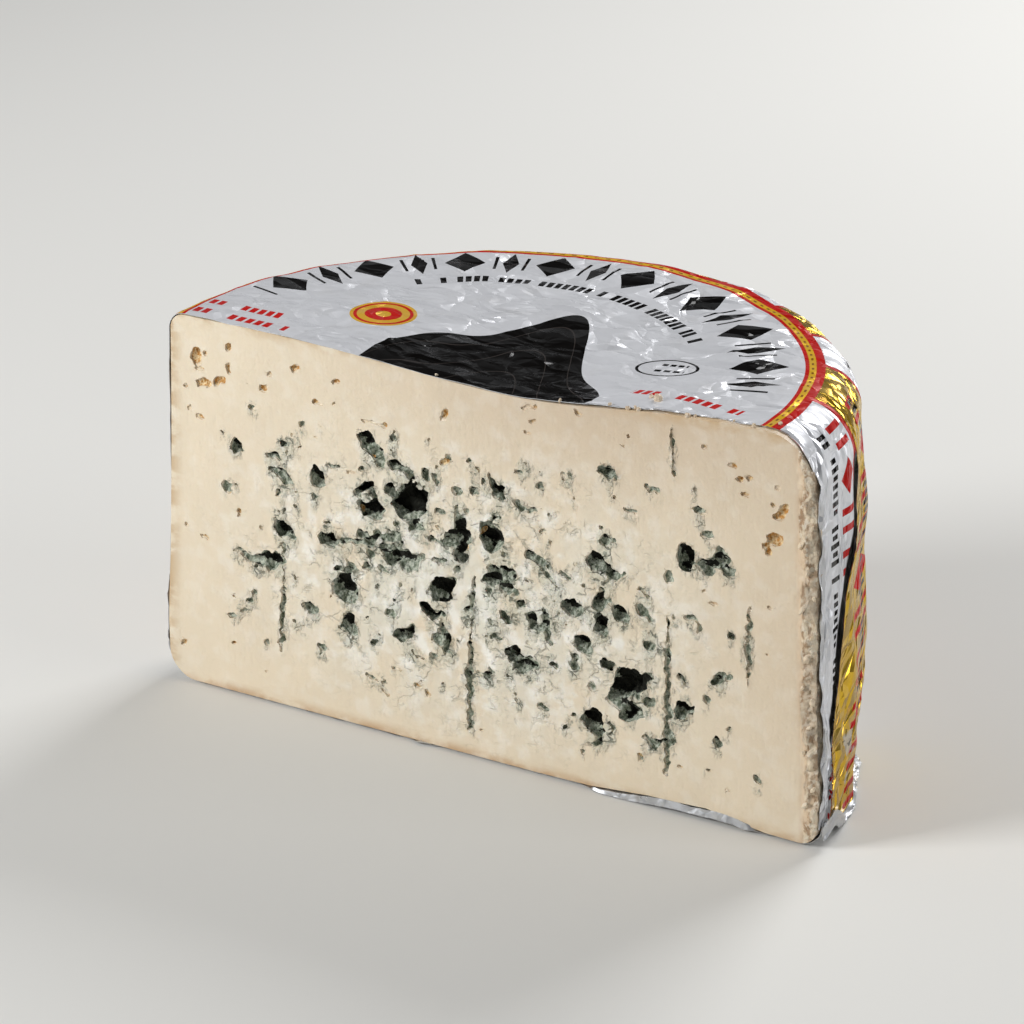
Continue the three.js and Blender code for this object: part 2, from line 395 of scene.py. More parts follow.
def subdivide_where(obj, test, cuts):
    """Subdivides the faces whose middle passes a test, given x, y and z in millimetres."""
    choose(obj, "FACE", [test(*(face.center / MM)) for face in obj.data.polygons])
    with editing(obj):
        bpy.ops.mesh.subdivide(number_cuts=cuts)


subdivide_where(cheese, lambda x, y, z: x > 85 and abs(y - cut_y / MM) < 12 and z < 104, 6)
print(faces_of(cheese))

# %% The fine front of the cut
FACE_CELL, FACE_WIDTH, FACE_HEIGHT = 0.95, 212, 118
bpy.ops.mesh.primitive_grid_add(
    x_subdivisions=round(FACE_WIDTH / FACE_CELL),
    y_subdivisions=round(FACE_HEIGHT / FACE_CELL),
    size=1,
    location=(0, cut_y, HEIGHT / 2 * MM),
    rotation=(math.pi / 2, 0, 0),
)
block = bpy.context.object
block.scale = (FACE_WIDTH * MM, FACE_HEIGHT * MM, 1)
bpy.ops.object.transform_apply(location=True, rotation=True, scale=True)
subdivide_where(block, lambda x, y, z: 87 < x < 98 and -1 < z < 108, 1)
modify(block, "SOLIDIFY", thickness=0.125, offset=-1)
modify(cheese, "BOOLEAN", object=block, operation="INTERSECT", solver="MANIFOLD")
bpy.data.objects.remove(block)
print(faces_of(cheese))

# %% [markdown]
# ## Hollows, cracks and needle channels
# The mould grows in the gaps between the lumps of curd, so the hollows of the cut are angular,
# torn and mostly wider than high. Each is listed with its place across and up, its length and
# breadth, its tilt and how deep it goes, in millimetres. Painted spots would look flat, so the
# hollows are real: rough blanks are copied into every place, fused by a voxel remesh,
# roughened, and then cut out of the cheese together. Along the needles' ways run narrow channels.

# %% The hollows that make the pattern of this cut
# across, up, length, breadth, tilt, depth
HOLLOWS_LEFT = [
    (-73.2, 71.9, 3.8, 3.2, 70, 4), (-57.8, 75.5, 3, 2, 0, 3), (-61, 71.7, 4.6, 1.1, 0, 3),
    (-61.7, 68.1, 2.2, 1.8, 0, 2.5), (-56.5, 66.1, 2.8, 2, -25, 3), (-47.5, 68.5, 5, 5, 0, 3.2),
    (-54.3, 58.9, 1.7, 1.1, 0, 2), (-59.1, 51.9, 5.6, 4, 28, 6), (-56.1, 50.2, 3, 1.2, -40, 3),
    (-70.4, 41.4, 4.6, 1, -18, 2.5), (-62.8, 41.3, 4.6, 3, 15, 6), (-66.3, 41.2, 3.4, 1.2, 5, 3),
    (-61, 44.3, 1.9, 0.9, 0, 2), (-70, 28.9, 2.6, 1.2, 35, 2), (-51.7, 31, 4, 2, -20, 4),
    (-47.2, 21, 3.6, 1.1, -12, 2), (-55.8, 26.1, 1.6, 0.9, 0, 1.6), (-77, 75.4, 1.6, 1, 0, 1.5),
    (-67.8, 38.9, 1.6, 1, 0, 1.5), (-55.3, 38.9, 1.5, 1.3, 0, 2), (-48.4, 63, 1.5, 1.3, 0, 2),
]
HOLLOWS_MIDDLE = [
    (-31.3, 80.7, 9.4, 3.2, -40, 4.5), (-24.8, 83.9, 1.9, 1, 80, 2), (-21.9, 75.8, 8.4, 3, -12, 3.5),
    (-15.2, 76, 3, 1.5, 85, 3), (-32.4, 68.5, 5.2, 3.7, 0, 7), (-31.1, 63, 7, 4.5, -20, 7),
    (-35.5, 66.8, 2.2, 1.6, 0, 3), (-20, 67.6, 10.6, 8.2, 80, 9), (-25.3, 69.4, 4.4, 2.2, -10, 5),
    (-19, 61.2, 3.6, 2, 80, 4), (-5.9, 68.7, 1.4, 1.2, 0, 2), (-10.8, 66.7, 4, 1, -5, 2),
    (-5, 61.6, 6, 3.6, 85, 7), (-5.2, 56.3, 4, 3.6, 30, 7), (-42.6, 72.8, 5, 1.3, 5, 2),
    (-44.8, 52.2, 5.4, 4.6, -20, 6), (-44.6, 56.6, 2.4, 1.3, 0, 2.5), (-37.5, 52.8, 9, 0.9, 0, 2),
    (-34, 55.4, 4, 1.4, 0, 3), (-31.6, 54, 3, 2.5, 80, 4), (-22.6, 51.1, 9.4, 2.2, -5, 6),
    (-33, 46.5, 2.6, 1.3, 30, 2.5), (-27.8, 47.2, 4.2, 1, -25, 2), (-39.9, 39.6, 7.4, 5.4, 35, 6),
    (-38.6, 29.2, 5, 3.8, 0, 4), (-31.1, 26.1, 2.8, 1.5, 10, 2.5), (-21.7, 30, 6.2, 3, 5, 5),
    (-13.9, 37.9, 5.2, 3.9, 5, 6), (-10.2, 34.3, 2.8, 1.8, 0, 4), (-8.9, 30.6, 4.6, 2.6, 85, 5),
    (-10.4, 45, 6.8, 4.2, -20, 7), (-10.7, 53.4, 5, 1.4, 5, 2.5), (-11, 58.5, 8.5, 0.9, -7, 2),
    (-31.9, 15.4, 4.8, 0.9, -17, 1.6), (-41.9, 44.3, 2.6, 1.1, 0, 2), (-17.4, 25, 5, 1, 0, 2),
    (7.1, 75.6, 4.4, 2.7, -50, 6), (4.6, 78.4, 3.4, 1, -55, 3), (4.5, 62.4, 5.8, 3.8, 8, 7),
    (2.8, 66.3, 3.6, 1.8, 10, 3), (7.5, 54, 7.2, 1.5, 8, 5), (4.1, 51.1, 3.2, 2.4, 80, 5),
    (9.5, 49.6, 6, 1.3, 0, 4), (8.2, 42.6, 3.2, 2.6, 0, 4), (6.1, 35.8, 4.6, 1.2, -10, 3),
    (10.8, 32.2, 4.8, 3.9, -40, 6), (13.6, 29.6, 5.8, 1.9, 0, 5), (3, 23.9, 2.8, 1.7, 0, 3),
    (18.2, 42, 7.2, 1.9, -25, 5), (21.2, 38.6, 3, 1, -70, 2), (16.5, 60.4, 5, 2, -30, 4),
]
HOLLOWS_RIGHT = [
    (20.9, 58.8, 2.3, 1.8, 0, 3), (25.2, 57.8, 4, 2.3, -10, 2.4), (33.6, 63, 4.2, 3.4, -20, 5),
    (37.6, 61.4, 5.6, 3.6, -10, 4), (37.6, 87.7, 5, 2.7, -15, 4), (27.6, 49.3, 6, 4.3, 12, 5),
    (35.2, 52.4, 5, 2.5, 72, 4), (40.8, 50.6, 2.8, 2.4, 0, 5), (35.8, 45.8, 4.6, 3.5, 0, 5),
    (30.6, 39.9, 5.2, 2.8, -5, 5), (28.2, 36, 2.2, 0.9, 0, 2), (37.8, 36, 3, 1.6, -5, 4),
    (45, 33.2, 7.4, 3.2, 5, 8), (43.4, 29.9, 10, 4, 8, 9), (44.4, 25.2, 4.6, 3.2, -50, 7),
    (33.2, 18.9, 6, 4.4, -65, 7), (35.4, 15.8, 2.4, 1.8, 0, 4), (25.8, 16, 1.6, 1.3, 0, 2.5),
    (34.5, 13.4, 4.6, 1, 20, 3), (49.3, 44.1, 3.6, 2, -30, 3), (49.1, 18.6, 2.2, 1.8, 0, 2.5),
    (51.6, 17.3, 4, 1.1, 25, 3), (59.1, 28.4, 4.2, 3, 5, 6), (58.6, 36.9, 3.6, 1.1, -40, 3),
    (59, 70.3, 5.6, 4, -45, 7), (63.8, 68.4, 4.4, 2.6, -25, 4), (68.2, 70.9, 4.2, 1.9, -16, 5),
    (70.8, 68.7, 2.6, 1.3, -20, 4), (68.6, 22.3, 2.3, 1.5, 0, 3), (71.7, 51.9, 2.4, 1.9, 0, 3),
    (67.9, 38.7, 3, 2, 10, 3), (63, 52, 3.2, 1.1, 85, 2), (61.9, 82.8, 3.6, 1, 0, 2.5),
    (43.7, 78.9, 4.6, 1, -8, 2), (14.7, 72.6, 5.6, 1, 12, 2), (22.3, 32.3, 3.2, 1.8, 0, 3),
    (19.3, 19.7, 2.4, 1.6, 0, 2.5), (8.9, 26.1, 1.5, 1, 0, 2), (65.3, 33.1, 1.4, 1.2, 0, 2),
]
# Shallow dips whose floor of grey-green mould shows.
MOULDY_DIPS = [
    (-67.4, 84, 3.6, 2.8, 20, 1.5), (-76, 60.4, 4, 3.2, 85, 1.5), (-58.8, 66.9, 6, 3, -25, 1.3),
    (-73.7, 42.6, 3.6, 1.6, 0, 1.3), (-68.4, 31.1, 3, 2, 30, 1.4), (-75.6, 23, 3.6, 2, 20, 1.2),
    (-72.1, 25.6, 2.8, 1.2, 30, 1.2), (-64.9, 17.8, 2.6, 2, 90, 1.6), (-48.9, 31, 2, 1.8, 0, 1.5),
    (-28.5, 76.3, 3.2, 2.8, 0, 1.8), (-11.7, 75.5, 4.2, 2.4, 85, 1.6), (-5.7, 73.5, 3.5, 3.2, 0, 1.4),
    (-8, 82, 3, 2.6, 0, 1.2), (-26.4, 57, 9.6, 3.4, 4, 1.9), (-25.6, 53.6, 8, 2, 0, 1.9),
    (-32, 50.8, 3, 2.8, 0, 1.8), (-37.2, 36.8, 6.4, 4.2, 35, 1.9), (-38.6, 27.4, 4.4, 2.2, 0, 1.6),
    (-25.6, 35.6, 4.4, 3.4, -40, 1.8), (-12.2, 31, 4.4, 4, 0, 1.9), (-13, 26.3, 3.6, 2.4, 0, 1.6),
    (-38.9, 44.1, 2.6, 2, 0, 1.4), (-24, 19.9, 4, 1.3, 0, 1.2), (-5.9, 52, 2.6, 2.2, 80, 1.8),
    (4.4, 59.8, 4, 2, 0, 1.6), (16.1, 31.3, 4, 2.8, 0, 1.9), (36, 62.6, 3.6, 3, 0, 1.8),
    (46.9, 52.8, 5, 4.2, -20, 1.7), (49.5, 28.6, 4, 3.2, 0, 1.9), (30.6, 10.4, 2.8, 2.2, 70, 1.3),
    (64.5, 77, 4, 2.8, 0, 1.4), (68.2, 73.5, 2.6, 2, 0, 1.4), (54, 63.5, 5, 3.2, 85, 1),
    (60.8, 54.1, 4.6, 2, 0, 1.5), (70.4, 40.5, 5, 1.8, 0, 1.6), (46.9, 58.7, 2.9, 1.8, 0, 1.8),
    (76.2, 49.5, 3.6, 2, 90, 1.3), (12.3, 82.4, 3.5, 1.6, 0, 1.3), (0.3, 80.7, 2.6, 1.5, -40, 1.3),
    (49.3, 85.6, 5, 1.6, 0, 1.2), (2, 77.5, 1.8, 1.6, 0, 1.4), (38.6, 70, 2.8, 1, 0, 1.3),
]
# Dry little pits near the rind, straw to brown inside.
STRAW_PITS = [
    (-84, 94.6, 5.2, 3.4, 85, 1.5), (-81.4, 96, 1.6, 1.1, 80, 1.2), (-83.5, 91.2, 3.6, 1, 0, 1.2),
    (-82.5, 87.8, 5, 2.4, 5, 1.6), (-77.5, 89, 4, 1.8, 25, 1.5), (-74.4, 93.4, 3.6, 1.6, 85, 1.5),
    (-74.3, 99.3, 2.5, 2.2, 0, 1.5), (-88.3, 86, 2, 1.5, 0, 1), (-87, 80, 2.2, 1.5, 90, 1.2),
    (-84, 78, 3.2, 1.3, -10, 1.1), (-53.5, 97, 2.9, 2, 0, 1.6), (-61.5, 94, 2, 1.5, 0, 1),
    (-63.2, 89.8, 2.9, 1.5, 30, 1.5), (-41.5, 95.7, 2.6, 1.4, 0, 1.4), (-89.7, 46.5, 2, 1.5, 0, 1.2),
    (-83.7, 43.9, 2.6, 0.9, -10, 1.2), (-92, 11.7, 2.8, 2, 0, 1.2), (-75.4, 15.4, 2.2, 1.1, 0, 1),
    (-65.2, 9.1, 1.4, 1.2, 0, 1), (-9.2, 80.4, 2.6, 1.4, 0, 1.5), (-10, 93.2, 4, 2.3, 85, 0.8),
    (-30, 86.9, 8, 0.9, 0, 1), (-46.9, 88.8, 3.6, 0.9, 0, 0.9), (-37, 72, 3.5, 1, 0, 1),
    (-28.1, 12.3, 3.6, 1.4, -20, 1.2), (-15.2, 15.2, 2.6, 1.8, -20, 1.3), (-18.1, 16.9, 2.6, 1.8, 0, 0.9),
    (15, 100, 5, 1, 10, 1), (16, 96.6, 2.3, 1.5, 0, 1.8), (14.7, 93.1, 2.6, 1.1, 0, 1.2),
    (28.9, 100.9, 2.4, 1.5, -10, 1.6), (42.6, 98, 1.6, 1.3, 0, 1), (41.1, 95.4, 2, 1, 0, 1),
    (63.2, 99.4, 2, 1.7, 0, 1.3), (70.8, 96.3, 2.6, 1.4, 0, 1.5), (72.9, 93.1, 2.2, 1.4, 0, 1.4),
    (75.6, 93.7, 2.2, 2, 0, 1.4), (74.3, 89.6, 2.8, 2, 0, 1.5), (82.9, 93, 1.6, 1.4, 0, 1.2),
    (81.9, 88.3, 1.7, 1.1, 0, 1.2), (84.7, 88.3, 2.6, 2.2, 0, 1.5), (83, 85.2, 3, 1.6, 0, 1.4),
    (82.6, 79.6, 4.4, 3.2, 30, 1.7), (80.6, 77.4, 3.6, 2.4, -20, 1.5), (81.7, 49.3, 1.6, 1.4, 0, 1.1),
    (82.3, 61.6, 2.9, 0.9, 0, 0.9), (66.7, 59.3, 3, 0.9, 0, 0.9), (71.9, 9.9, 2.6, 1.4, 0, 1),
    (47.4, 13.4, 1.6, 0.9, 0, 1), (1, 8.6, 1.6, 0.9, 0, 0.8),
]
# The needle channels: across at the foot and at the head, up from and to, and breadth.
CHANNELS = [
    (-60.6, -59.1, 17, 34, 1.7), (-59.1, -58.4, 33, 57, 0.9), (-2.6, -1.8, 8, 34, 1.8),
    (-1.8, -0.9, 33, 51, 1), (54.8, 54.4, 10, 52, 1.6), (55.3, 54.5, 91, 102.5, 0.8),
    (76.7, 76.4, 40.5, 60, 1),
]
hollows = HOLLOWS_LEFT + HOLLOWS_MIDDLE + HOLLOWS_RIGHT
print(len(hollows), "hollows,", len(MOULDY_DIPS), "mouldy dips and", len(STRAW_PITS), "straw pits")

# %% The small ones that fill the space between
draw = np.random.default_rng(11)


def scatter(count, middle, spread, least, most, depth):
    """Small hollows, thickest round a middle, kept off the clean paste by the rind."""
    found = []
    while len(found) < count:
        x, z = draw.normal(middle, spread)
        if abs(x) > 82 or not 9 < z < 96:
            continue
        length = least + (most - least) * draw.random() ** 2
        breadth, tilt = length * draw.uniform(0.4, 0.95), draw.normal(0, 25)
        found.append((x, z, length, breadth, tilt, depth * draw.uniform(0.6, 1.4)))
    return found


small_hollows = scatter(95, (-2, 46), (38, 21), 0.9, 2.6, 1.9)
small_dips = scatter(70, (0, 50), (44, 23), 1.2, 3.4, 1.0)
pin_pits = scatter(34, (0, 60), (62, 34), 0.8, 1.9, 0.9)
mouldy = hollows + small_hollows + MOULDY_DIPS + small_dips
straw = STRAW_PITS + pin_pits
print(len(mouldy) + len(straw), "openings in all")

# %% [markdown]
# ## The cutting tool
# A few rough blanks are enough: knocked-about cubes, whose flat sides leave the angular openings
# of torn curd, and some rounder lumps. Each is subdivided with a little fractal, so that its
# sides look torn. A long hollow gets several overlapping blanks along its length, and no two of
# them are turned alike.

# %% Blanks, copies and one fused tool
blanks = []
for number in range(9):
    if number % 3 < 2:
        bpy.ops.mesh.primitive_cube_add(size=1.45, location=(0, 0, 0))
    else:
        bpy.ops.mesh.primitive_ico_sphere_add(subdivisions=1, radius=1.05, location=(0, 0, 0))
    blanks.append(bpy.context.object)
    with editing(blanks[-1]):
        bpy.ops.transform.vertex_random(offset=0.42, seed=number + 3)
        bpy.ops.mesh.subdivide(number_cuts=2, smoothness=0.0, fractal=0.3, seed=number)


def blank_copy(x, z, length, breadth, tilt, depth):
    """One blank set into the face at a place in millimetres, tilted, and as deep as asked."""
    copy = blanks[int(draw.integers(len(blanks)))].copy()
    copy.data = copy.data.copy()
    bpy.context.collection.objects.link(copy)
    place = Matrix.Translation((x * MM, cut_y, z * MM))
    size = Matrix.Diagonal((length / 2 * MM, depth * MM, breadth / 2 * MM, 1))
    spin = Euler(draw.uniform(0, 2 * math.pi, 3)).to_matrix().to_4x4()
    copy.matrix_world = place @ Matrix.Rotation(-math.radians(tilt), 4, "Y") @ size @ spin
    return copy


def opening(x, z, length, breadth, tilt, depth):
    """A hollow from one blank, or from a few along its length."""
    lobes = 1 + (length > 2.4) + (length > 4.5) + (length > 1.8 * breadth) + (length > 4 * breadth)
    if lobes == 1:
        return [blank_copy(x, z, length, breadth, tilt, depth)]
    made = []
    cos, sin = math.cos(math.radians(tilt)), math.sin(math.radians(tilt))
    lobe_length = max(breadth, 1.9 * length / (lobes + 1))
    for share in np.linspace(-1, 1, lobes):
        along = share * (length - lobe_length) / 2 * 0.95
        aside = draw.normal(0, 0.13) * breadth
        place = (x + along * cos - aside * sin, z + along * sin + aside * cos)
        lean, lobe_breadth = tilt + draw.normal(0, 24), breadth * draw.uniform(0.72, 1.05)
        made.append(blank_copy(*place, lobe_length, lobe_breadth, lean, depth * draw.uniform(0.7, 1)))
    return made


copies = [copy for entry in mouldy for copy in opening(*entry)]
for x, z, length, breadth, tilt, depth in straw:
    copies += opening(x, z, 1.2 * length, 1.2 * breadth, tilt, 0.75 * depth)
for foot, head, low, high, breadth in CHANNELS:
    for share in np.linspace(0, 1, math.ceil((high - low) / 2.2)):
        x = foot + (head - foot) * share + draw.normal(0, 0.08)
        taper = breadth * (0.75 + 0.35 * draw.random()) * min(1, 0.5 + 2 * share, 0.5 + 2 * (1 - share))
        copies.append(blank_copy(x, low + (high - low) * share, 3.6, taper, 90, 1.1 * taper))

tool = join(copies)
for blank in blanks:
    bpy.data.objects.remove(blank)

CURD_VOXEL = 0.47
modify(tool, "REMESH", mode="VOXEL", voxel_size=CURD_VOXEL * MM)
for size, strength in ((4, 1.3), (1.1, 0.75)):
    displace(tool, f"torn at {size} mm", size, strength)
print(faces_of(tool))

# %% Cut, and keep the one body
modify(cheese, "BOOLEAN", object=tool, operation="DIFFERENCE", solver="MANIFOLD")
bpy.data.objects.remove(tool)
with editing(cheese):
    bpy.ops.mesh.separate(type="LOOSE")
bodies = sorted(bpy.context.selected_objects, key=lambda body: len(body.data.vertices))
cheese = bodies.pop()
for scrap in bodies:
    bpy.data.objects.remove(scrap)
cheese.name = "blue_cheese"
print(faces_of(cheese), "after dropping", len(bodies), "loose scraps")

# %% [markdown]
# ## The surface of the cut
# A knife drags through soft cheese, so the cut isn't a plane: it swells a little, tears finely
# where the curd is loose, and crumbles at the rind. Displace modifiers with cloud textures do that,
# each held by a vertex group to the area where it belongs. Before that, the mesh stores what the
# colours need to know: how near a point is to mould, to a straw pit or to the rind, and how deep it
# lies inside a hollow.

# %% What each point knows
def about(x, z, openings, reach, drag):
    """For each point: how near it is to an opening (1 inside, 0 beyond reach), how high it lies in the
    nearest one (-1 to 1), and how much mould the knife has smeared on it from above and below."""
    nearest, height, smeared = np.zeros((3, len(x)))
    for across, up, length, breadth, tilt, depth in openings:
        cos, sin = math.cos(math.radians(tilt)), math.sin(math.radians(tilt))
        right, over = x - across, z - up
        along, aside = right * cos + over * sin, over * cos - right * sin
        outside = np.maximum(np.hypot(along / (length / 2), aside / (breadth / 2)) - 1, 0)
        strength = min(1, 0.4 + 0.15 * depth)
        near = strength * np.clip(1 - outside * math.sqrt(length * breadth) / 2 / reach, 0, 1)
        half_width = math.hypot(length * cos, breadth * sin) / 2
        half_height = math.hypot(length * sin, breadth * cos) / 2
        height = np.where(near > nearest, np.clip(over / half_height, -1, 1), height)
        nearest = np.maximum(nearest, near)
        oval = np.hypot(right / (half_width + drag), (over + 0.5 * drag) / (half_height + 2 * drag))
        smeared += strength * 0.75 * np.clip(1 - oval, 0, 1)
    return nearest, height, np.clip(smeared, 0, 1)


def under_skin(wall, flat, rounding):
    """How far in a point lies from a wall, from a flat and from the rounding between them."""
    corner = rounding - np.hypot(np.maximum(rounding - wall, 0), np.maximum(rounding - flat, 0))
    return np.minimum(np.minimum(wall, flat), corner)


x, y, z = (points_of(cheese) / MM).T
depth = y - cut_y / MM
radius, around = np.hypot(x, depth + CUT), np.arctan2(depth + CUT, x)
from_wall = side_radius(z) - FOIL_ROOM - radius
from_top = HEIGHT - FOIL_ROOM - z
channel_openings = [
    ((foot + head) / 2, (low + high) / 2, high - low, breadth,
     90 + math.degrees((foot - head) / (high - low)), 3)
    for foot, head, low, high, breadth in CHANNELS
]
mould_near, height_in_hollow, smeared = about(x, z, mouldy + channel_openings, 1.5, 2.2)
straw_near, _, _ = about(x, z, straw, 1.3, 1)
SKIN = 0.45  # the outside isn't a hollow, however far it lies from the cut
true_wall = from_wall + waver(around, z)
to_top = HEIGHT - FOIL_ROOM - 2 * z + settle(x, depth + CUT, z)
to_skin = np.minimum(under_skin(true_wall, to_top, top_rounding(around)),
                     under_skin(true_wall, z - FOIL_ROOM, base_rounding(around)))
in_hollow = np.where(to_skin < SKIN, 0, depth)
store(
    cheese,
    mould=mould_near,
    smear=smeared,
    straw=straw_near,
    depth=np.clip(in_hollow, 0, 12),
    # painted shade: darker the deeper a point lies in a hollow and the higher it lies on the hollow's wall
    gloom=np.clip(in_hollow / 3.2, 0, 1.4) + 0.5 * height_in_hollow * (in_hollow > 0.3),
    rind=np.clip(1 - from_wall / 6, 0, 1) * smooth(x, 78, 87),
    # painted highlight: a pale band on the lower lips of the hollows, where a torn rim would catch the light
    rim=smooth(mould_near, 0.5, 0.8) * (depth < 0.3) * smooth(-height_in_hollow, -0.2, 0.5),
    edge=np.clip(1 - np.minimum(np.minimum(from_wall, from_top), z) / 4, 0, 1),
)

inner = smooth(np.minimum(from_wall, from_top), 0.5, 5) * smooth(z, 1, 4)
torn_middle = np.exp(-0.5 * (((x + 2) / 48) ** 2 + ((z - 50) / 26) ** 2))
at_rind = smooth(-from_wall, -5, -1.5) * smooth(from_wall, -1.2, 2) * (x > 80)
areas = {
    "open_face": (depth < 12) * inner,
    "torn_face": (depth < 12) * inner * np.clip(torn_middle + 0.5 * smeared, 0, 1),
    "crumbling": (depth < 12) * at_rind * smooth(z, 0.5, 3),
    "lips": (depth < 0.35) * inner * np.clip(2.2 * np.maximum(mould_near, 0.8 * straw_near) - 1.1, 0, 1),
    "torn_skin": smooth(-depth, -4, -1.5) * smooth(-from_wall, -1.2, -0.6) * (x > 80) * smooth(z, 2, 8),
}
STEPS = 20  # weights of a vertex group, in steps fine enough for a displacement
for area, weights in areas.items():
    held = cheese.vertex_groups.new(name=area)
    steps = np.rint(np.clip(weights, 0, 1) * STEPS).astype(int)
    for step in range(1, STEPS + 1):
        held.add(np.flatnonzero(steps == step).tolist(), step / STEPS, "REPLACE")
for name, size, strength, middle, way, area in (
    ("slow swell", 22, 1.0, 0.5, "Y", "open_face"),
    ("torn grain", 2.4, 0.7, 0.5, "Y", "torn_face"),
    ("torn lips", 1.5, -1.3, 0.3, "Y", "lips"),
    ("rind crumble 5 mm", 5, -4.6, 0.38, "Y", "crumbling"),
    ("rind crumble 1.9 mm", 1.9, -2.0, 0.38, "Y", "crumbling"),
    ("torn rind", 2.6, 1.3, 0.3, "NORMAL", "torn_skin"),
):
    displace(cheese, name, size, strength, middle, direction=way, vertex_group=area)
shade(cheese, 38)
print(faces_of(cheese), "with", len(cheese.data.attributes), "attributes")

# %% [markdown]
# ## Paste, mould and rind
# The paste of a young blue cheese is a moist, waxy cream, paler and faintly green where the mould
# lives and warmer towards the rind. The mould is a felt of blue-green threads, grey-teal where thin,
# with freckles and soft smears round it. Deep in a hollow and high on its walls the colour turns
# nearly black, and that is painted shade. All of it is one material, because it is one thing: the
# stored numbers say where, and noise in real millimetres breaks up every edge.

# %% Patterns of the cheese material
# The pattern functions work in the material in hand, by its node adder put and its coordinates place.
paste, put, surface = new_material("moist blue-veined paste")  # waxy and softly glowing, matt with mould
place = put("TexCoord").outputs["Object"]


def grain(size, detail=2.0, stretch=(1, 1, 1), rough=0.5):
    """Noise whose lumps measure size millimetres, drawn out by stretch."""
    scale = tuple(1 / (size * MM * s) for s in stretch)
    return put("TexNoise", put("Mapping", place, (0, 0, 0), (0, 0, 0), scale), 1.0, detail, rough)


def clumps(low, high, *shape):
    """1 on the lumps of such a grain and 0 between them, softly from low to high."""
    return put("MapRange SMOOTHSTEP", grain(*shape), low, high)


def unsettled(value, amount, *shape):
    """A value that such a grain raises and lowers, so that its edges break up."""
    return put("MULTIPLY_ADD", put("ADD", grain(*shape), -0.5), amount, value)


def lobe(x, z, reach_x, reach_z):
    """1 in the middle of an upright oval on the cut, 0 outside it."""
    centred = put("Mapping TEXTURE", place, (x * MM, 0, z * MM), (0, 0, 0), (reach_x * MM, 1e3, reach_z * MM))
    away = put("VectorMath LENGTH", centred).outputs["Value"]
    return put("MapRange SMOOTHSTEP", away, 0.0, 1.0, 1.0, 0.0)


def all_of(*masks):
    """Where all the masks are, as their product."""
    joined = masks[0]
    for mask in masks[1:]:
        joined = put("MULTIPLY", joined, mask)
    return joined


def lay_over(tone, *layers):
    """Lays colours over a tone, each where its mask says and as strong as its share."""
    for mask, share, code in layers:
        tone = put("Mix RGBA", all_of(mask, share), tone, code)
    return tone


mould, smeared, straw_near, deep, gloom, rind, edge, rim = (
    put("Attribute", attribute_name=name).outputs["Fac"]
    for name in ("mould", "smear", "straw", "depth", "gloom", "rind", "edge", "rim")
)

# %% Clean paste: cream, paler in its heart, warmer and duller towards the top, the right and the edges; towards the top and the right this is partly painted shade
heart = lobe(-4, 46, 92, 54)
clear = clumps(0.3, 0.62, 9, 3.0, (1, 1, 1.6))
mottle = all_of(clumps(0.45, 0.7, 4.5, 4.0), put("MapRange LINEAR", heart, 0.0, 0.6, 0.15, 0.8))
tone = lay_over(
    put("Mix RGBA", all_of(heart, clear), "#EEDFC5", "#EAE6D6"),
    # darker towards the top and the right: partly the paste's warmer tone near the rind, partly painted shade
    # where the light falls off
    (lobe(40, 116, 120, 50), 0.95, "#D3BEA4"),
    (lobe(110, 60, 60, 95), 0.75, "#D9C4A8"),
    (lobe(50, -12, 76, 24), 0.5, "#DCC4A0"),
    (mottle, 1.0, "#FFFCF3"),
    (all_of(clumps(0.38, 0.6, 3.5, 4.0, (1.8, 1, 1)), edge), 0.85, "#CDAE84"),
)

# %% Mould in the paste: smears, freckles, cracks between the curd lumps, and a felt round each hollow
haze = put("MapRange SMOOTHSTEP", unsettled(smeared, 2.4, 1.9, 5.0, (1, 1, 1.6), 0.65), 0.25, 0.85)
haze = all_of(haze, put("MapRange SMOOTHSTEP", smeared, 0.05, 0.4))
patches = put("MAXIMUM", all_of(clumps(0.42, 0.6, 7), heart, 0.55), all_of(haze, 0.8))
specks = clumps(0.6, 0.66, 1.4, 2.0, (1.5, 1, 0.9), 0.55)
curd = put("Mapping", place, (0, 0, 0), (0, 0, 0), (1 / (4.6 * MM), 1 / (4 * MM), 1 / (3.4 * MM)))
warp = put("TexNoise", curd, 1.6, 2.0, 0.5).outputs["Color"]
curd = put("VectorMath MULTIPLY_ADD", warp, (0.9, 0.9, 0.9), curd)
between = put("TexVoronoi", curd, 1.0, feature="DISTANCE_TO_EDGE").outputs["Distance"]
cracks = put("MapRange SMOOTHSTEP", between, 0.03, 0.08, 1.0, 0.0)
cracks = all_of(cracks, clumps(0.48, 0.56, 3.6), patches)
foot = put("MapRange SMOOTHSTEP", put("SeparateXYZ", place).outputs[2], 0.3 * MM, 3.2 * MM, 1.0, 0.0)
TORN_EDGE = (1.3, 4.0, (1.3, 1, 0.9), 0.62)
felt = unsettled(mould, 2.2, *TORN_EDGE)
straw_edge = unsettled(straw_near, 1.6, *TORN_EDGE)
tone = lay_over(
    tone,
    (haze, 0.36, "#B4BEAE"),
    (all_of(specks, patches), 0.8, "#737E6F"),
    (cracks, 0.9, "#4A5140"),
    (all_of(foot, clear), 0.6, "#C2976A"),
    # painted highlight: pale cream on the lower lips of the hollows
    (all_of(rim, clumps(0.44, 0.56, 1.4, 3.0)), 0.8, "#F5F0E2"),
    (put("MapRange SMOOTHSTEP", felt, 1.1, 1.22), 0.9, "#3E4335"),
    (put("MapRange SMOOTHSTEP", straw_edge, 0.5, 1.0), 0.5, "#CFA873"),
)
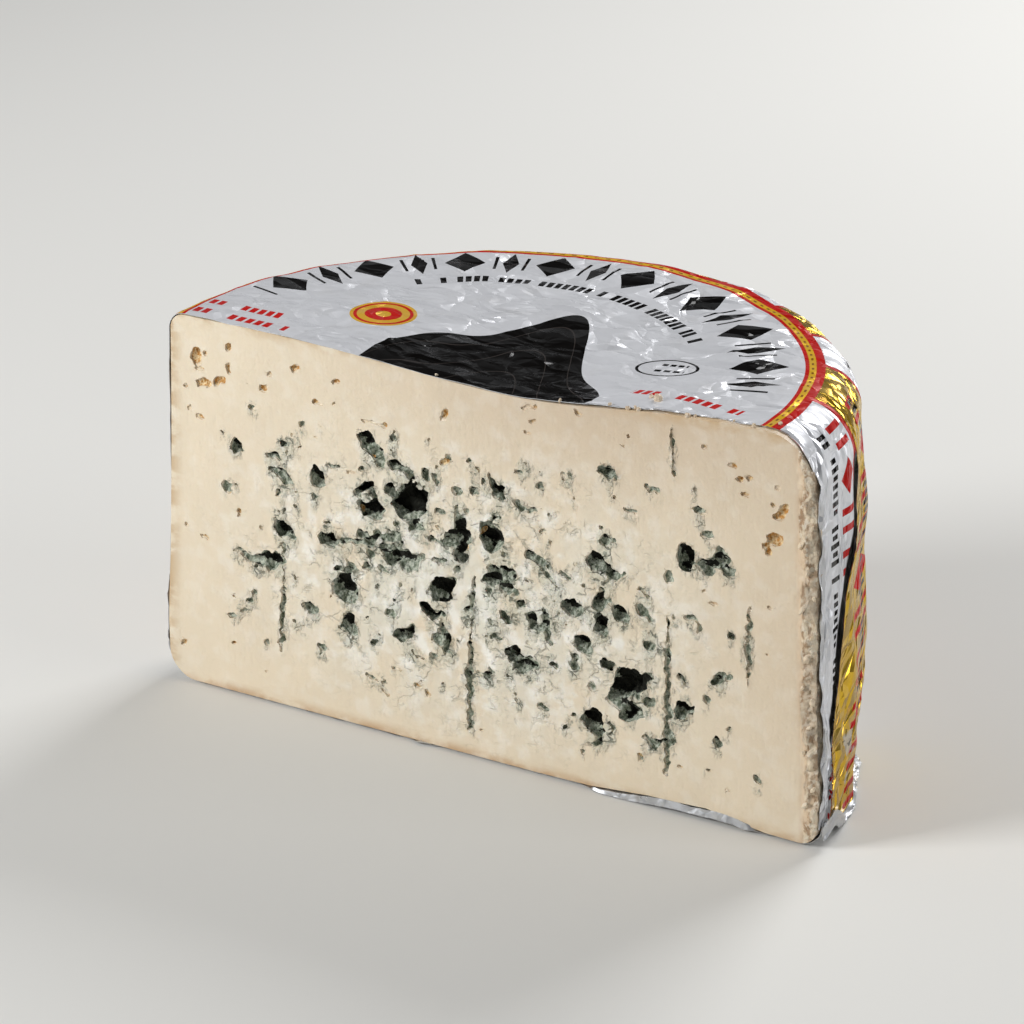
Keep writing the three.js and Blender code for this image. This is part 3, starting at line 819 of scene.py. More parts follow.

# %% Inside the hollows: grey mould on the floors, painted shade that turns the deep parts and the ceilings black, or straw-brown dry curd
streaks = clumps(0.4, 0.6, 0.8, 4.0, (1, 1, 1.5), 0.6)
hollow_shade_mask = unsettled(gloom, 1.8, 1.7, 5.0, (1, 1, 1), 0.65)
mould_and_shade_wall = put("Mix RGBA", streaks, "#C3C8B8", "#76806E")
# painted shade: near-black where a point lies deep or high in a hollow
mould_and_shade_wall = put("Mix RGBA", put("MapRange SMOOTHSTEP", hollow_shade_mask, 0.6, 0.7), mould_and_shade_wall, "#15160B")
straw_wall = put("Mix RGBA", streaks, "#F0D9AC", "#C38D49")
wall = put("Mix RGBA", put("GREATER_THAN", straw_near, mould), mould_and_shade_wall, straw_wall)
tone = put("Mix RGBA", put("MapRange SMOOTHSTEP", deep, 0.45, 0.75), tone, wall)

# %% The rind's edge: tan, with painted brown shade where it tears away and in its crumbled hollows, and pale crumbs next to the foil
UPRIGHT = (1.7, 3.0, (1, 1, 2.6), 0.6)
crumble = all_of(rind, unsettled(1.0, 4.5, 7, 5.0, (0.7, 1, 1.5), 0.65))
# painted shade: brown patches along the inner border of the crumbling rind
painted_rind_shade = all_of(put("MapRange SMOOTHSTEP", crumble, 0.45, 0.8, 1.0, 0.0), clumps(0.4, 0.54, *UPRIGHT))
rind_tone = lay_over(
    put("Mix RGBA", clumps(0.42, 0.62, *UPRIGHT), "#DECEB4", "#B79E82"),
    (painted_rind_shade, 0.75, "#93714F"),
    (clumps(0.5, 0.6, 1.5), 0.7, "#E6DCC8"),
    (clumps(0.47, 0.6, 8, 3.0, (1, 1, 1.4)), 0.35, "#8C7762"),
    # painted shade: darker brown where the crumbled rind lies deeper
    (put("MapRange SMOOTHSTEP", deep, 0.9, 1.9), 1.0, "#6E543A"),
)
tone = lay_over(
    tone,
    (put("MapRange SMOOTHSTEP", crumble, 0.0, 0.4), 0.6, "#CFB292"),
    (put("MapRange SMOOTHSTEP", crumble, 0.3, 0.5), 1.0, rind_tone),
)

# %% Shine and fine relief
dull = put("MAXIMUM", put("MapRange SMOOTHSTEP", deep, 0.3, 0.7), put("MapRange SMOOTHSTEP", felt, 0.7, 1.0))
rough = put("MAXIMUM", dull, put("MapRange SMOOTHSTEP", rind, 0.3, 0.6))
rough = put("MAXIMUM", rough, all_of(patches, 0.8))
fine = all_of(grain(1.3, 3.0), put("MapRange LINEAR", rough, 0.0, 1.0, 0.35, 2.0))
fine = put("MULTIPLY_ADD", grain(0.8, 2.0, (1, 1, 24)), 0.12, fine)  # the drag lines of the knife
fine = put("MULTIPLY_ADD", cracks, -1.2, fine)
fine = put("MULTIPLY_ADD", put("MINIMUM", between, 0.25), all_of(patches, 2.2), fine)
bump = put("Bump", 0.9, 0.5 * MM)
feed(bump, {"Height": fine})
feed(surface, {
    "Base Color": tone,
    "Roughness": put("MapRange SMOOTHSTEP", dull, 0.0, 1.0, 0.4, 0.85),
    "IOR": 1.45,
    "Subsurface Weight": 0.06,
    "Subsurface Radius": (1.0, 0.7, 0.4),
    "Subsurface Scale": 1.0 * MM,
    "Normal": bump,
})

cheese.data.materials.clear()
cheese.data.materials.append(paste)
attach(cheese, "root")
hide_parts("cheese")
print(len(paste.node_tree.nodes), "nodes in", paste.name)

# %% [markdown]
# ## Two sheets of foil
# A wheel is wrapped by machine: a printed round of aluminium foil is pressed over its top and down
# its side, and a plain round is folded up from below. So each is made as what it is, one flat sheet:
# a grid whose every point knows its place on the flat foil, then wrapped over the wheel by the
# form functions. That place is kept as the UV map, so print and creases stay on the foil. The
# sheets get their creases by moving points along their normals, and their thickness by Solidify.

# %% Wrapping a flat sheet over the wheel
SHEET = 420  # side of the square that the UV map covers, in millimetres
FOIL_THICKNESS = 0.14


def lumps(points, size, shift=0.0):
    """Soft noise between about -1 and 1 whose lumps measure size millimetres."""
    return np.array([noise.noise(Vector(point)) for point in points / size + shift])


def crumpled(u, v, size, turn, seed):
    """Heights between -1 and 1 of flat three-sided facets with sharp creases, as in crumpled foil."""
    bend = np.column_stack((u, v, 0 * u)) / (2.2 * size)
    across = (u * math.cos(turn) + v * math.sin(turn)) / size + 0.4 * lumps(bend, 1, seed)
    along = (v * math.cos(turn) - u * math.sin(turn)) / size + 0.4 * lumps(bend, 1, seed + 7.5)
    column, row = np.floor(across).astype(int), np.floor(along).astype(int)
    across, along = across - column, along - row
    lattice = np.random.default_rng(seed).uniform(-1, 1, (128, 128))
    corners = ((0, 0), (1, 0), (0, 1), (1, 1))
    a, b, c, d = (lattice[(column + i) % 128, (row + j) % 128] for i, j in corners)
    near = a + across * (b - a) + along * (c - a)
    far = d + (1 - across) * (c - d) + (1 - along) * (b - d)
    return np.where(across + along < 1, near, far)


def lay_print(sheet, places):
    """Sets the UV map from each point's place on the flat foil, in millimetres."""
    corners = read(sheet.data.loops, "vertex_index", 1, int)
    sheet.data.uv_layers.active.data.foreach_set("uv", (places[corners, :2] / SHEET + 0.5).ravel())


def drop_points(sheet, unwanted):
    """Deletes the points for which unwanted is true."""
    choose(sheet, "VERT", unwanted)
    with editing(sheet):
        bpy.ops.mesh.delete(type="VERT")


def flat_sheet(name, reach, cell):
    """A grid in millimetres, x across the cut and y away from it, without its far corners."""
    cells_across, cells_deep = round(2 * reach / cell), round((reach + 12) / cell)
    bpy.ops.mesh.primitive_grid_add(x_subdivisions=cells_across, y_subdivisions=cells_deep, size=1)
    sheet = bpy.context.object
    sheet.name = name
    places = points_of(sheet) * (2 * reach, reach + 12, 0) + (0, (reach - 12) / 2, 0)
    set_points(sheet, places)
    lay_print(sheet, places)
    drop_points(sheet, np.hypot(places[:, 0], places[:, 1]) > reach)
    return sheet


def trim(sheet, place, direction):
    """Cuts off what lies beyond a plane."""
    with editing(sheet):
        bpy.ops.mesh.select_all(action="SELECT")
        bpy.ops.mesh.bisect(plane_co=place, plane_no=direction, clear_outer=True)


def normals_of(obj):
    return read(obj.data.vertex_normals, "vector")


def crease(u, v, start, end, height, width):
    """A raised fold along a line on the flat foil, sharp at its crest and lower towards its ends."""
    start, line = np.array(start), np.subtract(end, start)
    share = np.clip(((u - start[0]) * line[0] + (v - start[1]) * line[1]) / (line @ line), 0, 1)
    away = np.hypot(u - start[0] - share * line[0], v - start[1] - share * line[1])
    return height * np.exp(-away / width) * np.sin(math.pi * np.clip(share, 0.04, 0.96))


# %% [markdown]
# ## The printed foil
# It lies flat on the top, where only a few long creases catch the light, turns over the shoulder,
# and hangs down the side in shallow pleats. Beside the cut it is folded over itself. Low down and
# near the cut, where hands and knife have worked it, it is crumpled, and its cut edge is torn and
# stands a little off the cheese. Its foot is hidden under the plain foil.

# %% The sheet over the top and side
LABEL_OUT = 0.35
label = flat_sheet("label_sheet", 196, 1.3)
u, v = points_of(label)[:, :2].T
distance, angle = np.hypot(u, v), np.arctan2(v, u)
radius, z = down_the_side(distance, angle, LABEL_OUT)
radius = radius + (waver(angle, z) + pleat(angle, z)) * radius / BASE_RADIUS
# On the right the sheet is folded over itself, and the gold that laps over the white leans to the cut.
GOLD_STARTS = math.radians(13.4)
fold_angle = np.radians(-0.5 + 7 * smooth(z, 8, 60) + 7.5 * smooth(z, 54, 92))
past_fold = smooth(angle, fold_angle - 0.004, fold_angle + 0.004)
on_side = smooth(-z, -99, -90)
radius = radius + on_side * past_fold * (0.15 + 0.6 * np.exp(-(((angle - fold_angle) / 0.025) ** 2)))
# painted shade: a dark band along the fold where the sheet laps over itself
crevice = on_side * np.exp(-(((angle - fold_angle + 0.006) / 0.015) ** 2)) * smooth(z, 20, 34)
store(label, crevice=crevice)
GOLD_ENDS, SEEN_TO = math.radians(26.2), math.radians(36)
stretched = GOLD_STARTS + (angle - fold_angle) * (GOLD_ENDS - GOLD_STARTS) / (SEEN_TO - fold_angle)
beyond = angle - (SEEN_TO - GOLD_ENDS) * (1 - smooth(angle, SEEN_TO, 1.2))
stretched = np.where(angle < SEEN_TO, stretched, beyond)
printed_angle = angle + on_side * past_fold * (stretched - angle)
lay_print(label, np.column_stack((distance * np.cos(printed_angle), distance * np.sin(printed_angle))))
x, y = radius * np.cos(angle), radius * np.sin(angle)
set_points(label, in_the_part(x, y, settle(x, y, z)))
trim(label, (0, cut_y, 0), (0, -1, 0))
LABEL_FOOT = 2.4
trim(label, (0, 0, LABEL_FOOT * MM), (0, 0, -1))
subdivide_where(label, lambda x, y, z: x > 0 and y - cut_y / MM < (26 if x > 72 else 5), 1)

# %% Its creases
# From and to on the flat sheet, and height.
CREASES = [
    ((-70, 29), (-58, 14), 0.7), ((-89, 22), (-77, 10), 0.7), ((-72, 17), (-64, 9), 0.6),
    ((-64, 68), (-46, 55), 0.6), ((-30, 52), (-16, 66), 0.5), ((8, 30), (25, 41), 0.8),
    ((10, 52), (27, 46), 0.5), ((2, 22), (14, 27), 0.8), ((-14, 14), (-2, 24), 0.7),
    ((44, 46), (58, 30), 0.6), ((30, 12), (52, 18), 0.5), ((58, 18), (80, 26), 0.6),
    ((-40, 4), (-28, 14), 0.5), ((20, 66), (44, 60), 0.5), ((66, 48), (78, 36), 0.5),
    ((-10, 78), (14, 76), 0.5),
]
for _ in range(90):
    start = draw.uniform((-85, 0), (85, 88))
    turn, length = draw.normal(math.radians(35), 0.9), draw.uniform(4, 15)
    end = start + (length * math.cos(turn), length * math.sin(turn))
    CREASES.append((start, end, draw.uniform(-0.4, 0.55)))
points, normal = points_of(label) / MM, normals_of(label)
x, y, z = points.T
depth = y - cut_y / MM
flat = np.zeros((len(points), 2))
corners = read(label.data.loops, "vertex_index", 1, int)
flat[corners] = (read(label.data.uv_layers.active.data, "uv", 2) - 0.5) * SHEET
u, v = flat.T
side_share = smooth(np.hypot(u, v), 84, 100)
right_share = smooth(x, -10, 50)
folds = sum(crease(u, v, start, end, size, 1.0) for start, end, size in CREASES)
big, little = crumpled(u, v, 8, 0.5, 3), crumpled(u, v, 3.6, 1.2, 4)
lift = folds + 0.35 * lumps(points, 18) + 0.42 * crumpled(u, v, 13, 0.9, 5) + 0.1 * crumpled(u, v, 6, 0.2, 6)
worked = np.maximum(smooth(-z, -52, -16), smooth(-depth, -9, 0) * right_share) * side_share
lift += side_share * (0.2 + 0.8 * worked) * 1.05 * big + worked * 0.6 * little
silvered = smooth(-depth, -6.5, -1.5) * right_share * side_share * smooth(z, 44, 58) * smooth(-z, -97, -88)
worn = worked * smooth(big + little, 0.3, 1.2) * smooth(-z, -94, -84) * smooth(z, 3, 16)
worn = np.maximum(worn, silvered * smooth(lumps(points, 7, 4), -0.5, 0.1))
torn_rim = smooth(-depth, -1.3, -0.3) * (1 - side_share) * smooth(x, 5, 30)
torn_rim = torn_rim * smooth(lumps(points, 5, 3), -0.4, 0.2)
LEAST_HANDLED = 0.4
handled = side_share * np.maximum(np.maximum(worked, silvered), LEAST_HANDLED)
store(label, handled=handled, worn=np.maximum(side_share * worn, torn_rim))
covered = smooth(-z - 3.5 * smooth(x, 60, 85), -12.5, -8.5) * side_share * (1 - low_hem(x, depth))
lift = lift * (0.3 + 0.7 * smooth(z, 5, 20)) * (1 - 0.85 * covered) - 0.85 * covered
near_edge = smooth(-depth, -3, 0)
lift += near_edge * right_share * side_share * (0.3 + 0.4 * little + 0.5 * lumps(points, 4.5, 3))
lowest = -0.24 - 0.64 * covered  # any lower, and the sheet would sink into the cheese
points = points + normal * np.maximum(lift, lowest)[:, None]
x = points[:, 0]
torn_back = 0.35 - 0.9 * right_share * side_share + 0.9 * lumps(points, 7, 9) + 0.25 * lumps(points, 2.6, 5)
torn_back += 1.1 * smooth(x, 34, 62) * (1 - side_share)
rind_shows = side_share * (0.1 + 0.3 * smooth(-z, -72, -52) + 0.9 * lumps(points, 9, 2))
push = near_edge * torn_back * (0.35 + 0.65 * right_share) + smooth(-depth, -9, 0) * right_share * rind_shows
points[:, 1] += np.maximum(push, -1.3 * right_share * side_share)
set_points(label, points * MM)
hidden_below = 2 + 6 * covered - 1.5 * smooth(x, 60, 85)  # out of sight under the plain foil
drop_points(label, z < hidden_below)
print(faces_of(label))

# %% [markdown]
# ## Bare aluminium
# Household foil is rolled metal: bright, a little brushed along its length, and sharp in its
# creases. The base sheet, the inside of the printed sheet and its torn edges all show it.

# %% The aluminium material
bare, put, surface = new_material("rolled aluminium foil")  # a bright metal that glints at each crease
place = put("TexCoord").outputs["Object"]
smeared = all_of(clumps(0.55, 0.72, 5, 3.0), 0.4)
plates = put("Mapping", place, (0, 0, 0), (0, 0, 0), (1 / (3 * MM),) * 3)
creased = put("TexVoronoi", plates, 1.0, feature="DISTANCE_TO_EDGE")
bump = put("Bump", 0.5, 0.5 * MM)
feed(bump, {"Height": creased.outputs["Distance"]})
feed(surface, {
    "Base Color": put("Mix RGBA", smeared, "#D3D5D8", "#A89F92"),
    "Roughness": put("MapRange SMOOTHSTEP", grain(3), 0.3, 0.7, 0.27, 0.45),
    "Metallic": 1.0,
    "Normal": bump,
})

# %% [markdown]
# ## The print
# The sheet carries red and gold rings, a dark frieze round the edge of a white field, a seal, a
# dark hill and, down the side, white and gold panels. All of it is plain ornament: bars and
# lozenges, dashes and discs. Each mark is a shape worked out in millimetres on the flat sheet, so
# its edge stays as crisp as ink. White lacquer lets a little metal through, black is glossy, and
# gold is clear lacquer over bare metal.

# %% Shapes on the flat sheet
printed, put, surface = new_material("lacquered and printed aluminium foil")  # satin white, glossy inks
place = put("TexCoord").outputs["Object"]
uv_place = put("TexCoord").outputs["UV"]
sheet_place = put("Mapping", uv_place, (-SHEET / 2, -SHEET / 2, 0), (0, 0, 0), (SHEET, SHEET, 1))


def frame_at(x, y, width, height, tilt=0.0):
    """Coordinates that run from -1 to 1 over a box on the sheet."""
    turn, scale = (0, 0, math.radians(tilt)), (width / 2, height / 2, 1)
    return put("Mapping TEXTURE", sheet_place, (x, y, 0), turn, scale)


def polar(x, y):
    """Distance and turn in degrees about a point of the sheet."""
    from_middle = put("VectorMath SUBTRACT", sheet_place, (x, y, 0))
    parts = put("SeparateXYZ", from_middle)
    turn = put("MULTIPLY", put("ARCTAN2", parts.outputs[1], parts.outputs[0]), 180 / math.pi)
    return put("VectorMath LENGTH", from_middle).outputs["Value"], turn


def cells(value, pitch, start=0.0):
    """Where a value lies in its cell, from 0 to 1, and a fixed draw for that cell."""
    counted = put("MULTIPLY_ADD", value, 1 / pitch, -start / pitch)
    return put("FRACT", counted), put("TexWhiteNoise 1D", put("FLOOR", counted))


def off_middle(share):
    """0 in the middle of a cell and 1 at its ends."""
    return put("ABSOLUTE", put("MULTIPLY_ADD", share, 2.0, -1.0))


def dashes(x, y, width, height, tilt, pitch):
    """A line of short dashes with gaps between groups."""
    local = frame_at(x, y, width, height, tilt)
    parts = put("SeparateXYZ", put("VectorMath ABSOLUTE", local))
    in_box = put("LESS_THAN", put("MAXIMUM", parts.outputs[0], parts.outputs[1]), 1.0)
    share, pick = cells(put("SeparateXYZ", local), 2 * pitch / width)
    return all_of(in_box, put("LESS_THAN", share, 0.7), put("GREATER_THAN", pick, 0.12))


def discs(distance, *rings):
    """Discs about one middle, the widest first, each with its ink."""
    return [(put("LESS_THAN", distance, radius), ink) for radius, ink in rings]


# %% The inks, from the bottom layer up
# An ink is its colour, how metallic it is and how rough.
WHITE = ("#EDEEF2", 0.4, 0.36)
BLACK = ("#080605", 0.0, 0.12)
RED = ("#C41A15", 0.05, 0.34)
GOLD = ("#DDB43C", 0.95, 0.2)
YELLOW = ("#EFBE2B", 0.3, 0.3)
SEAL_GOLD = ("#E9B63A", 0.3, 0.34)
BROWN = ("#8E5A18", 0.2, 0.3)
CONTOUR = ("#35302D", 0.0, 0.2)
FIELD, EDGE = 87.5, 92.2  # radii where the top's rings end and where the panels' marks start
PANELS = 24

from_ring, ring_turn = polar(-5.4, 2.7)
panel_share, _ = cells(ring_turn, 360 / PANELS, -4)
pair_share, _ = cells(ring_turn, 720 / PANELS, -4)
outside = put("GREATER_THAN", from_ring, FIELD)
marked = put("GREATER_THAN", from_ring, EDGE)
second = put("GREATER_THAN", pair_share, 0.5)
border = put("LESS_THAN", put("PINGPONG", panel_share, 0.5), 0.04)
middle_share = put("Mix FLOAT", second, 0.77, 0.42)
across_column = put("DIVIDE", put("ABSOLUTE", put("SUBTRACT", panel_share, middle_share)), 0.17)
row_share, row_pick = cells(from_ring, 10.5, 92)
along_row = off_middle(row_share)
lozenges = put("LESS_THAN", put("MULTIPLY_ADD", along_row, 1.15, across_column), 1.0)
bars = all_of(put("COMPARE", along_row, 0.42, 0.17), put("LESS_THAN", across_column, 0.85))
column = put("Mix FLOAT", put("GREATER_THAN", row_pick, 0.5), lozenges, bars)
thin_share, thin_pick = cells(from_ring, 2.1, 90)
thin_width = put("MULTIPLY_ADD", thin_pick, 0.07, 0.02)
thin_mark = all_of(put("COMPARE", thin_share, 0.5, 0.3), put("GREATER_THAN", thin_pick, 0.2))
thin_mark = all_of(thin_mark, put("COMPARE", panel_share, 0.45, thin_width))
fleck_share, _ = cells(ring_turn, 2.2)
flecks = all_of(put("COMPARE", from_ring, 84.45, 0.28), put("LESS_THAN", fleck_share, 0.4))

from_text, text_turn = polar(-8, 3)
slot_share, _ = cells(text_turn, 9.6, 10)
two_slots, _ = cells(text_turn, 19.2, 10)
across_slot = off_middle(slot_share)
up_slot = put("ABSOLUTE", put("MULTIPLY_ADD", from_text, 1 / 7.6, -73.5 / 7.6))
in_band = all_of(put("LESS_THAN", up_slot, 1.0), put("COMPARE", text_turn, 88, 77.5))
lozenge, spindle = (
    put("LESS_THAN", put("MULTIPLY_ADD", across_slot, narrow, up_slot), 0.98) for narrow in (1.1, 2.7)
)
rails = all_of(put("COMPARE", across_slot, 0.66, 0.07), put("LESS_THAN", up_slot, 0.62))
odd = put("GREATER_THAN", two_slots, 0.5)
frieze = all_of(in_band, put("Mix FLOAT", odd, put("MAXIMUM", spindle, rails), lozenge))
line_share, line_pick = cells(text_turn, 2.1, 43)
small_line = all_of(put("COMPARE", from_text, 60.4, 1.9), put("COMPARE", text_turn, 88, 45))
small_line = all_of(small_line, put("LESS_THAN", line_share, 0.7), put("GREATER_THAN", line_pick, 0.2))

hill_parts = put("SeparateXYZ", frame_at(-2, 0, 66, 88))
hill_x, hill_y = hill_parts.outputs[0], hill_parts.outputs[1]
from_peak = put("ABSOLUTE", hill_x)
dome = put("MULTIPLY_ADD", put("POWER", from_peak, 2.0), -1.0, 0.94)
rolling = all_of(put("SINE", put("MULTIPLY_ADD", hill_x, 6.4, 0.9)), 0.16)
below = put("SUBTRACT", put("ADD", dome, rolling), hill_y)
hill = all_of(put("GREATER_THAN", below, 0.0), put("LESS_THAN", from_peak, 0.98))
contour = put("COMPARE", put("PINGPONG", below, 0.17), 0.17, 0.006)
contour = all_of(hill, contour, put("GREATER_THAN", below, 0.1))

from_seal, _ = polar(-44, 24)
stamp = put("VectorMath LENGTH", frame_at(37, 27, 17, 10.5)).outputs["Value"]

inks = [
    (all_of(outside, second), GOLD),
    (all_of(marked, column), RED),
    (all_of(marked, thin_mark), BLACK),
    (all_of(outside, border), RED),
    *discs(from_ring, (FIELD, RED), (85.3, YELLOW), (83.6, RED), (82.6, WHITE)),
    (flecks, BROWN),
    (frieze, BLACK),
    (small_line, BLACK),
    (hill, BLACK),
    (contour, CONTOUR),
    *discs(from_seal, (8.7, SEAL_GOLD), (7.75, RED), (6.85, SEAL_GOLD), (4.8, RED), (2.0, SEAL_GOLD)),
    (put("COMPARE", stamp, 0.95, 0.05), BLACK),
    (put("MAXIMUM", dashes(37, 29, 10, 1.3, 0, 2.2), dashes(37, 25.2, 11, 1.3, 0, 2.6)), BLACK),
    (dashes(-74.5, 8.4, 25, 3.0, 0, 2.5), RED),
    (dashes(-74, 1.6, 30, 3.2, 0, 2.7), RED),
    (dashes(53, 7, 33, 3.0, -10, 2.6), RED),
]
tone, metal, shine = WHITE
for mask, (code, metalness, roughness) in inks:
    tone = put("Mix RGBA", mask, tone, code)
    metal = put("Mix FLOAT", mask, metal, metalness)
    shine = put("Mix FLOAT", mask, shine, roughness)

# %% Handling marks, worn creases, painted shade along the fold, and fine wrinkles in the foil
handled, worn, crevice = (
    put("Attribute", attribute_name=name).outputs["Fac"] for name in ("handled", "worn", "crevice")
)
pale = put("GREATER_THAN", put("SeparateColor", tone).outputs[1], 0.3)
rubbed = all_of(clumps(0.5, 0.75, 7, 4.0), pale)
worn = put("MapRange SMOOTHSTEP", unsettled(worn, 0.8, 1.4, 3.0), 0.42, 0.62)
crevice = put("MapRange SMOOTHSTEP", crevice, 0.3, 0.6)
# painted shade along the fold: near-black, with the metal's reflection taken away there
tone = lay_over(tone, (rubbed, 0.22, "#B4B2AE"), (worn, 0.7, "#C9CACC"), (crevice, 1.0, "#14110C"))
bent = put("TexNoise", sheet_place, 0.05, 2.0, 0.5).outputs["Color"]
bent = put("VectorMath MULTIPLY_ADD", bent, (14, 14, 0), sheet_place)


def plates(turn, length, breadth):
    """How far in a point is on flat plates of that size between creases."""
    laid = put("Mapping", bent, (0, 0, 0), (0, 0, math.radians(turn)), (1 / length, 1 / breadth, 1))
    return put("TexVoronoi", laid, 1.0, feature="DISTANCE_TO_EDGE").outputs["Distance"]


some = put("MapRange SMOOTHSTEP", put("TexNoise", sheet_place, 0.06, 1.0), 0.4, 0.6, 0.25, 1.1)
uneven = all_of(plates(30, 17, 9), put("MULTIPLY_ADD", handled, 2.5, 3.4))
uneven = put("MULTIPLY_ADD", plates(-25, 6, 3.6), put("MULTIPLY_ADD", handled, 3.6, some), uneven)
bump = put("Bump", 1.0, MM)
feed(bump, {"Height": uneven})
feed(surface, {
    "Base Color": tone,
    "Metallic": all_of(put("MAXIMUM", metal, worn), put("SUBTRACT", 1.0, crevice)),
    "Roughness": put("MULTIPLY_ADD", rubbed, 0.08, shine),
    "Specular IOR Level": 0.12,
    "Normal": bump,
})
print(len(printed.node_tree.nodes), "nodes in", printed.name)

# %% Thickness, and print outside only
label.data.materials.append(printed)
label.data.materials.append(bare)
modify(label, "SOLIDIFY", thickness=FOIL_THICKNESS * MM, offset=-1, material_offset=1, material_offset_rim=1)
shade(label, 50)
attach(label, "root")
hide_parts("foil_label")
print(faces_of(label))

# %% [markdown]
# ## Crumbs
# Cutting leaves crumbs: one fat one on the print, small ones along the torn top edge, and paler
# lumps of rind that hang at the right edge of the cut. Each is a knocked-about ball that a ray sets
# down on what lies under it, and all are one piece in the material of the paste.

# %% Crumbs on the foil, the top edge and the rind
# Along the cut, in from it, and size.
TOP_CRUMBS = [
    (47, 7, 2.3), (44.4, 8.4, 1.0), (23.5, 0.5, 0.9), (37, 1.1, 0.9), (42.2, 0.6, 1.5), (44.1, 0.9, 0.9),
    (45.3, 0.5, 1.1), (58.5, 0.5, 1.4), (60.3, 0.9, 0.8), (70.3, 1.6, 0.8), (76, 0.6, 1.3), (-12, 1.0, 0.8),
    (81, 4.4, 0.9),
]
# In from the right edge of the cut, up, and size.
FRONT_CRUMBS = [
    (3.1, 12, 1.7), (1.0, 17, 1.3), (1.4, 23.5, 2.1), (3.6, 26, 1.3), (2.0, 33, 1.5), (0.8, 40, 1.9),
    (4.0, 43, 1.2), (2.4, 51, 1.7), (0.9, 57, 1.3), (3.3, 64, 2.0), (0.7, 67, 1.2), (2.2, 74, 1.6),
    (3.9, 80, 1.8), (1.0, 85, 1.3),
]
bpy.context.view_layer.update()
crumbs = []
for number, (across, along, size) in enumerate(TOP_CRUMBS + FRONT_CRUMBS):
    falling = number < len(TOP_CRUMBS)
    if falling:
        start, way = Vector((across * MM, cut_y + along * MM, 0.14)), Vector((0, 0, -1))
    else:
        rind_at = cheese.ray_cast(Vector((0.12, cut_y + 1.5 * MM, along * MM)), Vector((-1, 0, 0)))[1].x
        start, way = Vector((rind_at - across * MM, -0.09, along * MM)), Vector((0, 1, 0))
    spots = [hit[1] for hit in (label.ray_cast(start, way), cheese.ray_cast(start, way)) if hit[0]]
    spot = min(spots, key=lambda spot: (spot - start).length) - way * 0.2 * size * MM
    spot.y = max(spot.y, cut_y - 1.5 * MM)
    bpy.ops.mesh.primitive_ico_sphere_add(subdivisions=3, radius=size / 2 * MM, location=spot)
    crumb = bpy.context.object
    crumb.scale = draw.uniform(0.7, 1.2, 3) * ((1, 1, 1) if falling else (0.8, 0.7, 1.6))
    crumb.rotation_euler = draw.uniform(0, 2 * math.pi, 3) * (1 if falling else 0.1)
    with editing(crumb):
        bpy.ops.transform.vertex_random(offset=0.09 * size * MM, seed=number)
    displace(crumb, f"crumb {number}", 0.5 * size, 0.5 * size, coords="LOCAL")
    crumbs.append(crumb)
crumbs = join(crumbs)
crumbs.name = "cheese_crumbs"
crumbs.data.materials.append(paste)
shade(crumbs, 40)
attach(crumbs, "root")
print(faces_of(crumbs))

# %% [markdown]
# ## The plain foil underneath
# The second sheet lies under the cheese and is folded up its side, over the lower edge of the
# printed one. Nobody smooths it, so it is crumpled, though it lies close on the left. At the cut its
# edge is torn: on the right it sags to the table as a bright strip below the cheese, and one flake
# sticks out in front.

# %% The sheet under the base
BASE_OUT = 0.5
base_foil = flat_sheet("base_sheet", 116, 1.15)
u, v = points_of(base_foil)[:, :2].T
distance, angle = np.hypot(u, v), np.arctan2(v, u)
outer_rim = smooth(distance, 96, 101)
calm = 1 - 0.75 * smooth(-u, 60, 85) * smooth(-v, -45, -15)  # it lies close on the left
radius, z = up_from_base(distance, angle, BASE_OUT)
strayed = (waver(angle, z) + 0.6 * pleat(angle, z) * outer_rim) * radius / BASE_RADIUS
radius = radius + strayed + 0.4 * outer_rim * calm
x, y = radius * np.cos(angle), radius * np.sin(angle)
z = z + (1 - smooth(distance, 80, 92)) * np.maximum(lifted_edge(x, y) - 0.1, 0)
set_points(base_foil, in_the_part(x, y, z))
store(base_foil, calm=calm)
trim(base_foil, (0, cut_y, 0), (0, -1, 0))
points, normal = points_of(base_foil) / MM, normals_of(base_foil)
if normal[np.argmax(points[:, 0])][0] < 0:
    with editing(base_foil):
        bpy.ops.mesh.select_all(action="SELECT")
        bpy.ops.mesh.flip_normals()
    normal = normals_of(base_foil)
calm = read(base_foil.data.attributes["calm"].data, "value", 1, np.float32)
x, y, z = points.T
depth = y - cut_y / MM
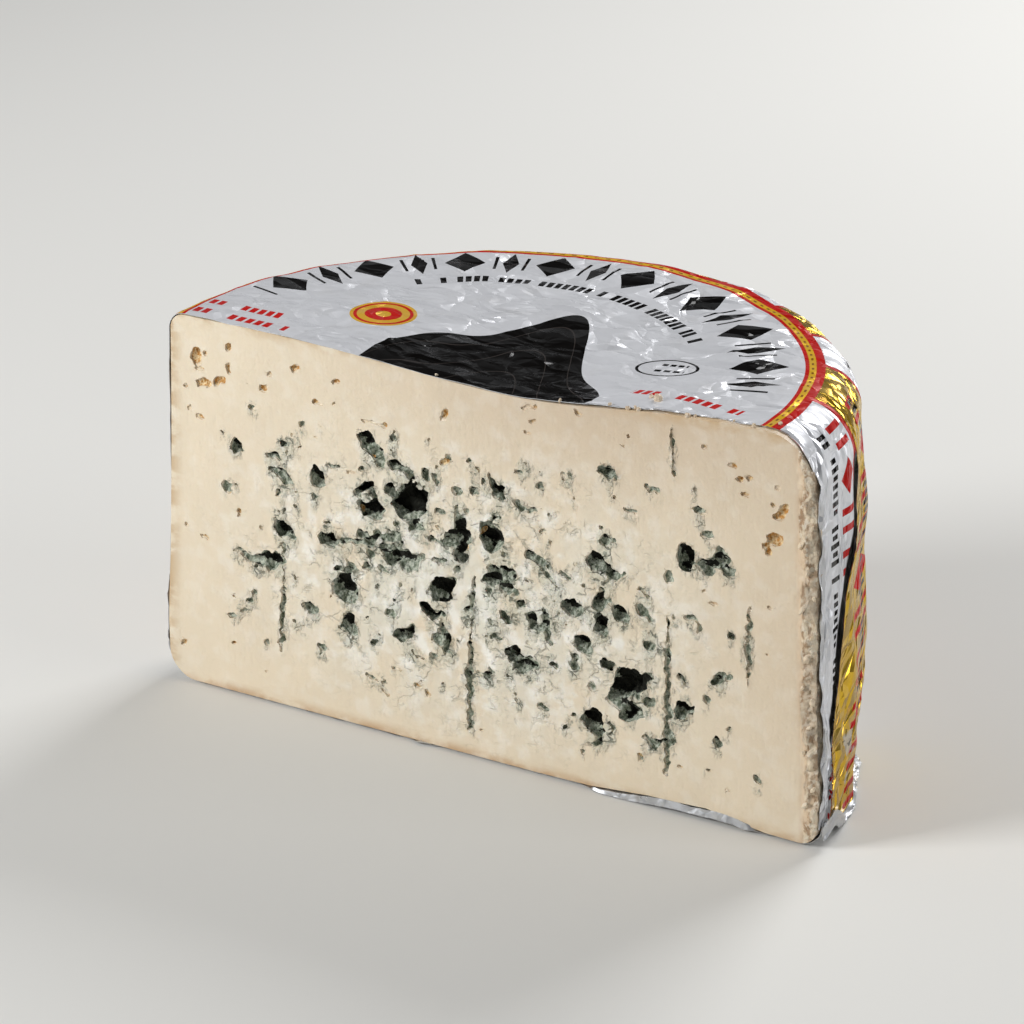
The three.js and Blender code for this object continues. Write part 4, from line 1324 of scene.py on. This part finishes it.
turned, up = np.degrees(np.arctan2(y, x)) * 1.7, z - np.hypot(x, y)
crumple = 0.6 * crumpled(turned, up, 5, 0.4, 8)
crumple += 0.35 * crumpled(turned, up, 2.6, 1.1, 9)
CHEESE_BELOW, TABLE_BELOW, LEAST_HEM = -0.45, 0.18, 0.6  # the foil sinks into neither of them
crumple = np.maximum(crumple, CHEESE_BELOW)
on_side = smooth(z, 0.5, 6)
points = points + normal * (calm * crumple * (0.25 + 0.75 * on_side))[:, None]
x, y, z = points.T  # from here on these are views, so that a change of one moves the points
front, level = smooth(-depth, -3, 0), 1 - on_side
strip = smooth(x, 27, 38) * (1 - smooth(x, 76, 83))
flake = np.exp(-(((x + 17) / 2.6) ** 2))
crinkle = (0.5 - 0.5 * lumps(points, 3, 6) + 0.6 * (1 - calm)) * (1 - 0.8 * strip * level)
y += front * (crinkle - 1.6 * flake) - (front + 1.1 * depth * (depth < 1.5)) * strip * level
z += front * (flake * (0.6 + lumps(points, 1.5, 2)) + 0.25 * (1 + lumps(points, 2.2, 5)) * (x > -12))
turned_down = strip * smooth(-depth, -0.75, -0.2) * level
z[:] = np.maximum(z * (1 - turned_down), TABLE_BELOW)
hem = 11 - 3.5 * smooth(x, 60, 85) - 5 * low_hem(x, depth)
hem = hem + (1.3 * lumps(points, 7, 4) + 0.6 * lumps(points, 2, 2)) * (1 - 0.5 * smooth(x, 60, 85))
folded_down = z > hem
z[:] = np.where(folded_down, np.maximum(hem - 0.35 * (z - hem), LEAST_HEM), z)
points = points + normal * np.where(folded_down, 0.25, 0)[:, None]
set_points(base_foil, points * MM)
base_foil.data.materials.append(bare)
modify(base_foil, "SOLIDIFY", thickness=FOIL_THICKNESS * MM, offset=-1)
shade(base_foil, 35)
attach(base_foil, "root")
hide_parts("foil_base")
print(faces_of(base_foil))

# %% [markdown]
# ## Last measures
# The size of the finished piece, without the floor, is measured and printed. The finished piece has
# to stay inside the room that the CAD model gives it.

# %% Sizes and the end
low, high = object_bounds()
print("visual size in mm:", [round(side / MM, 1) for side in high - low])
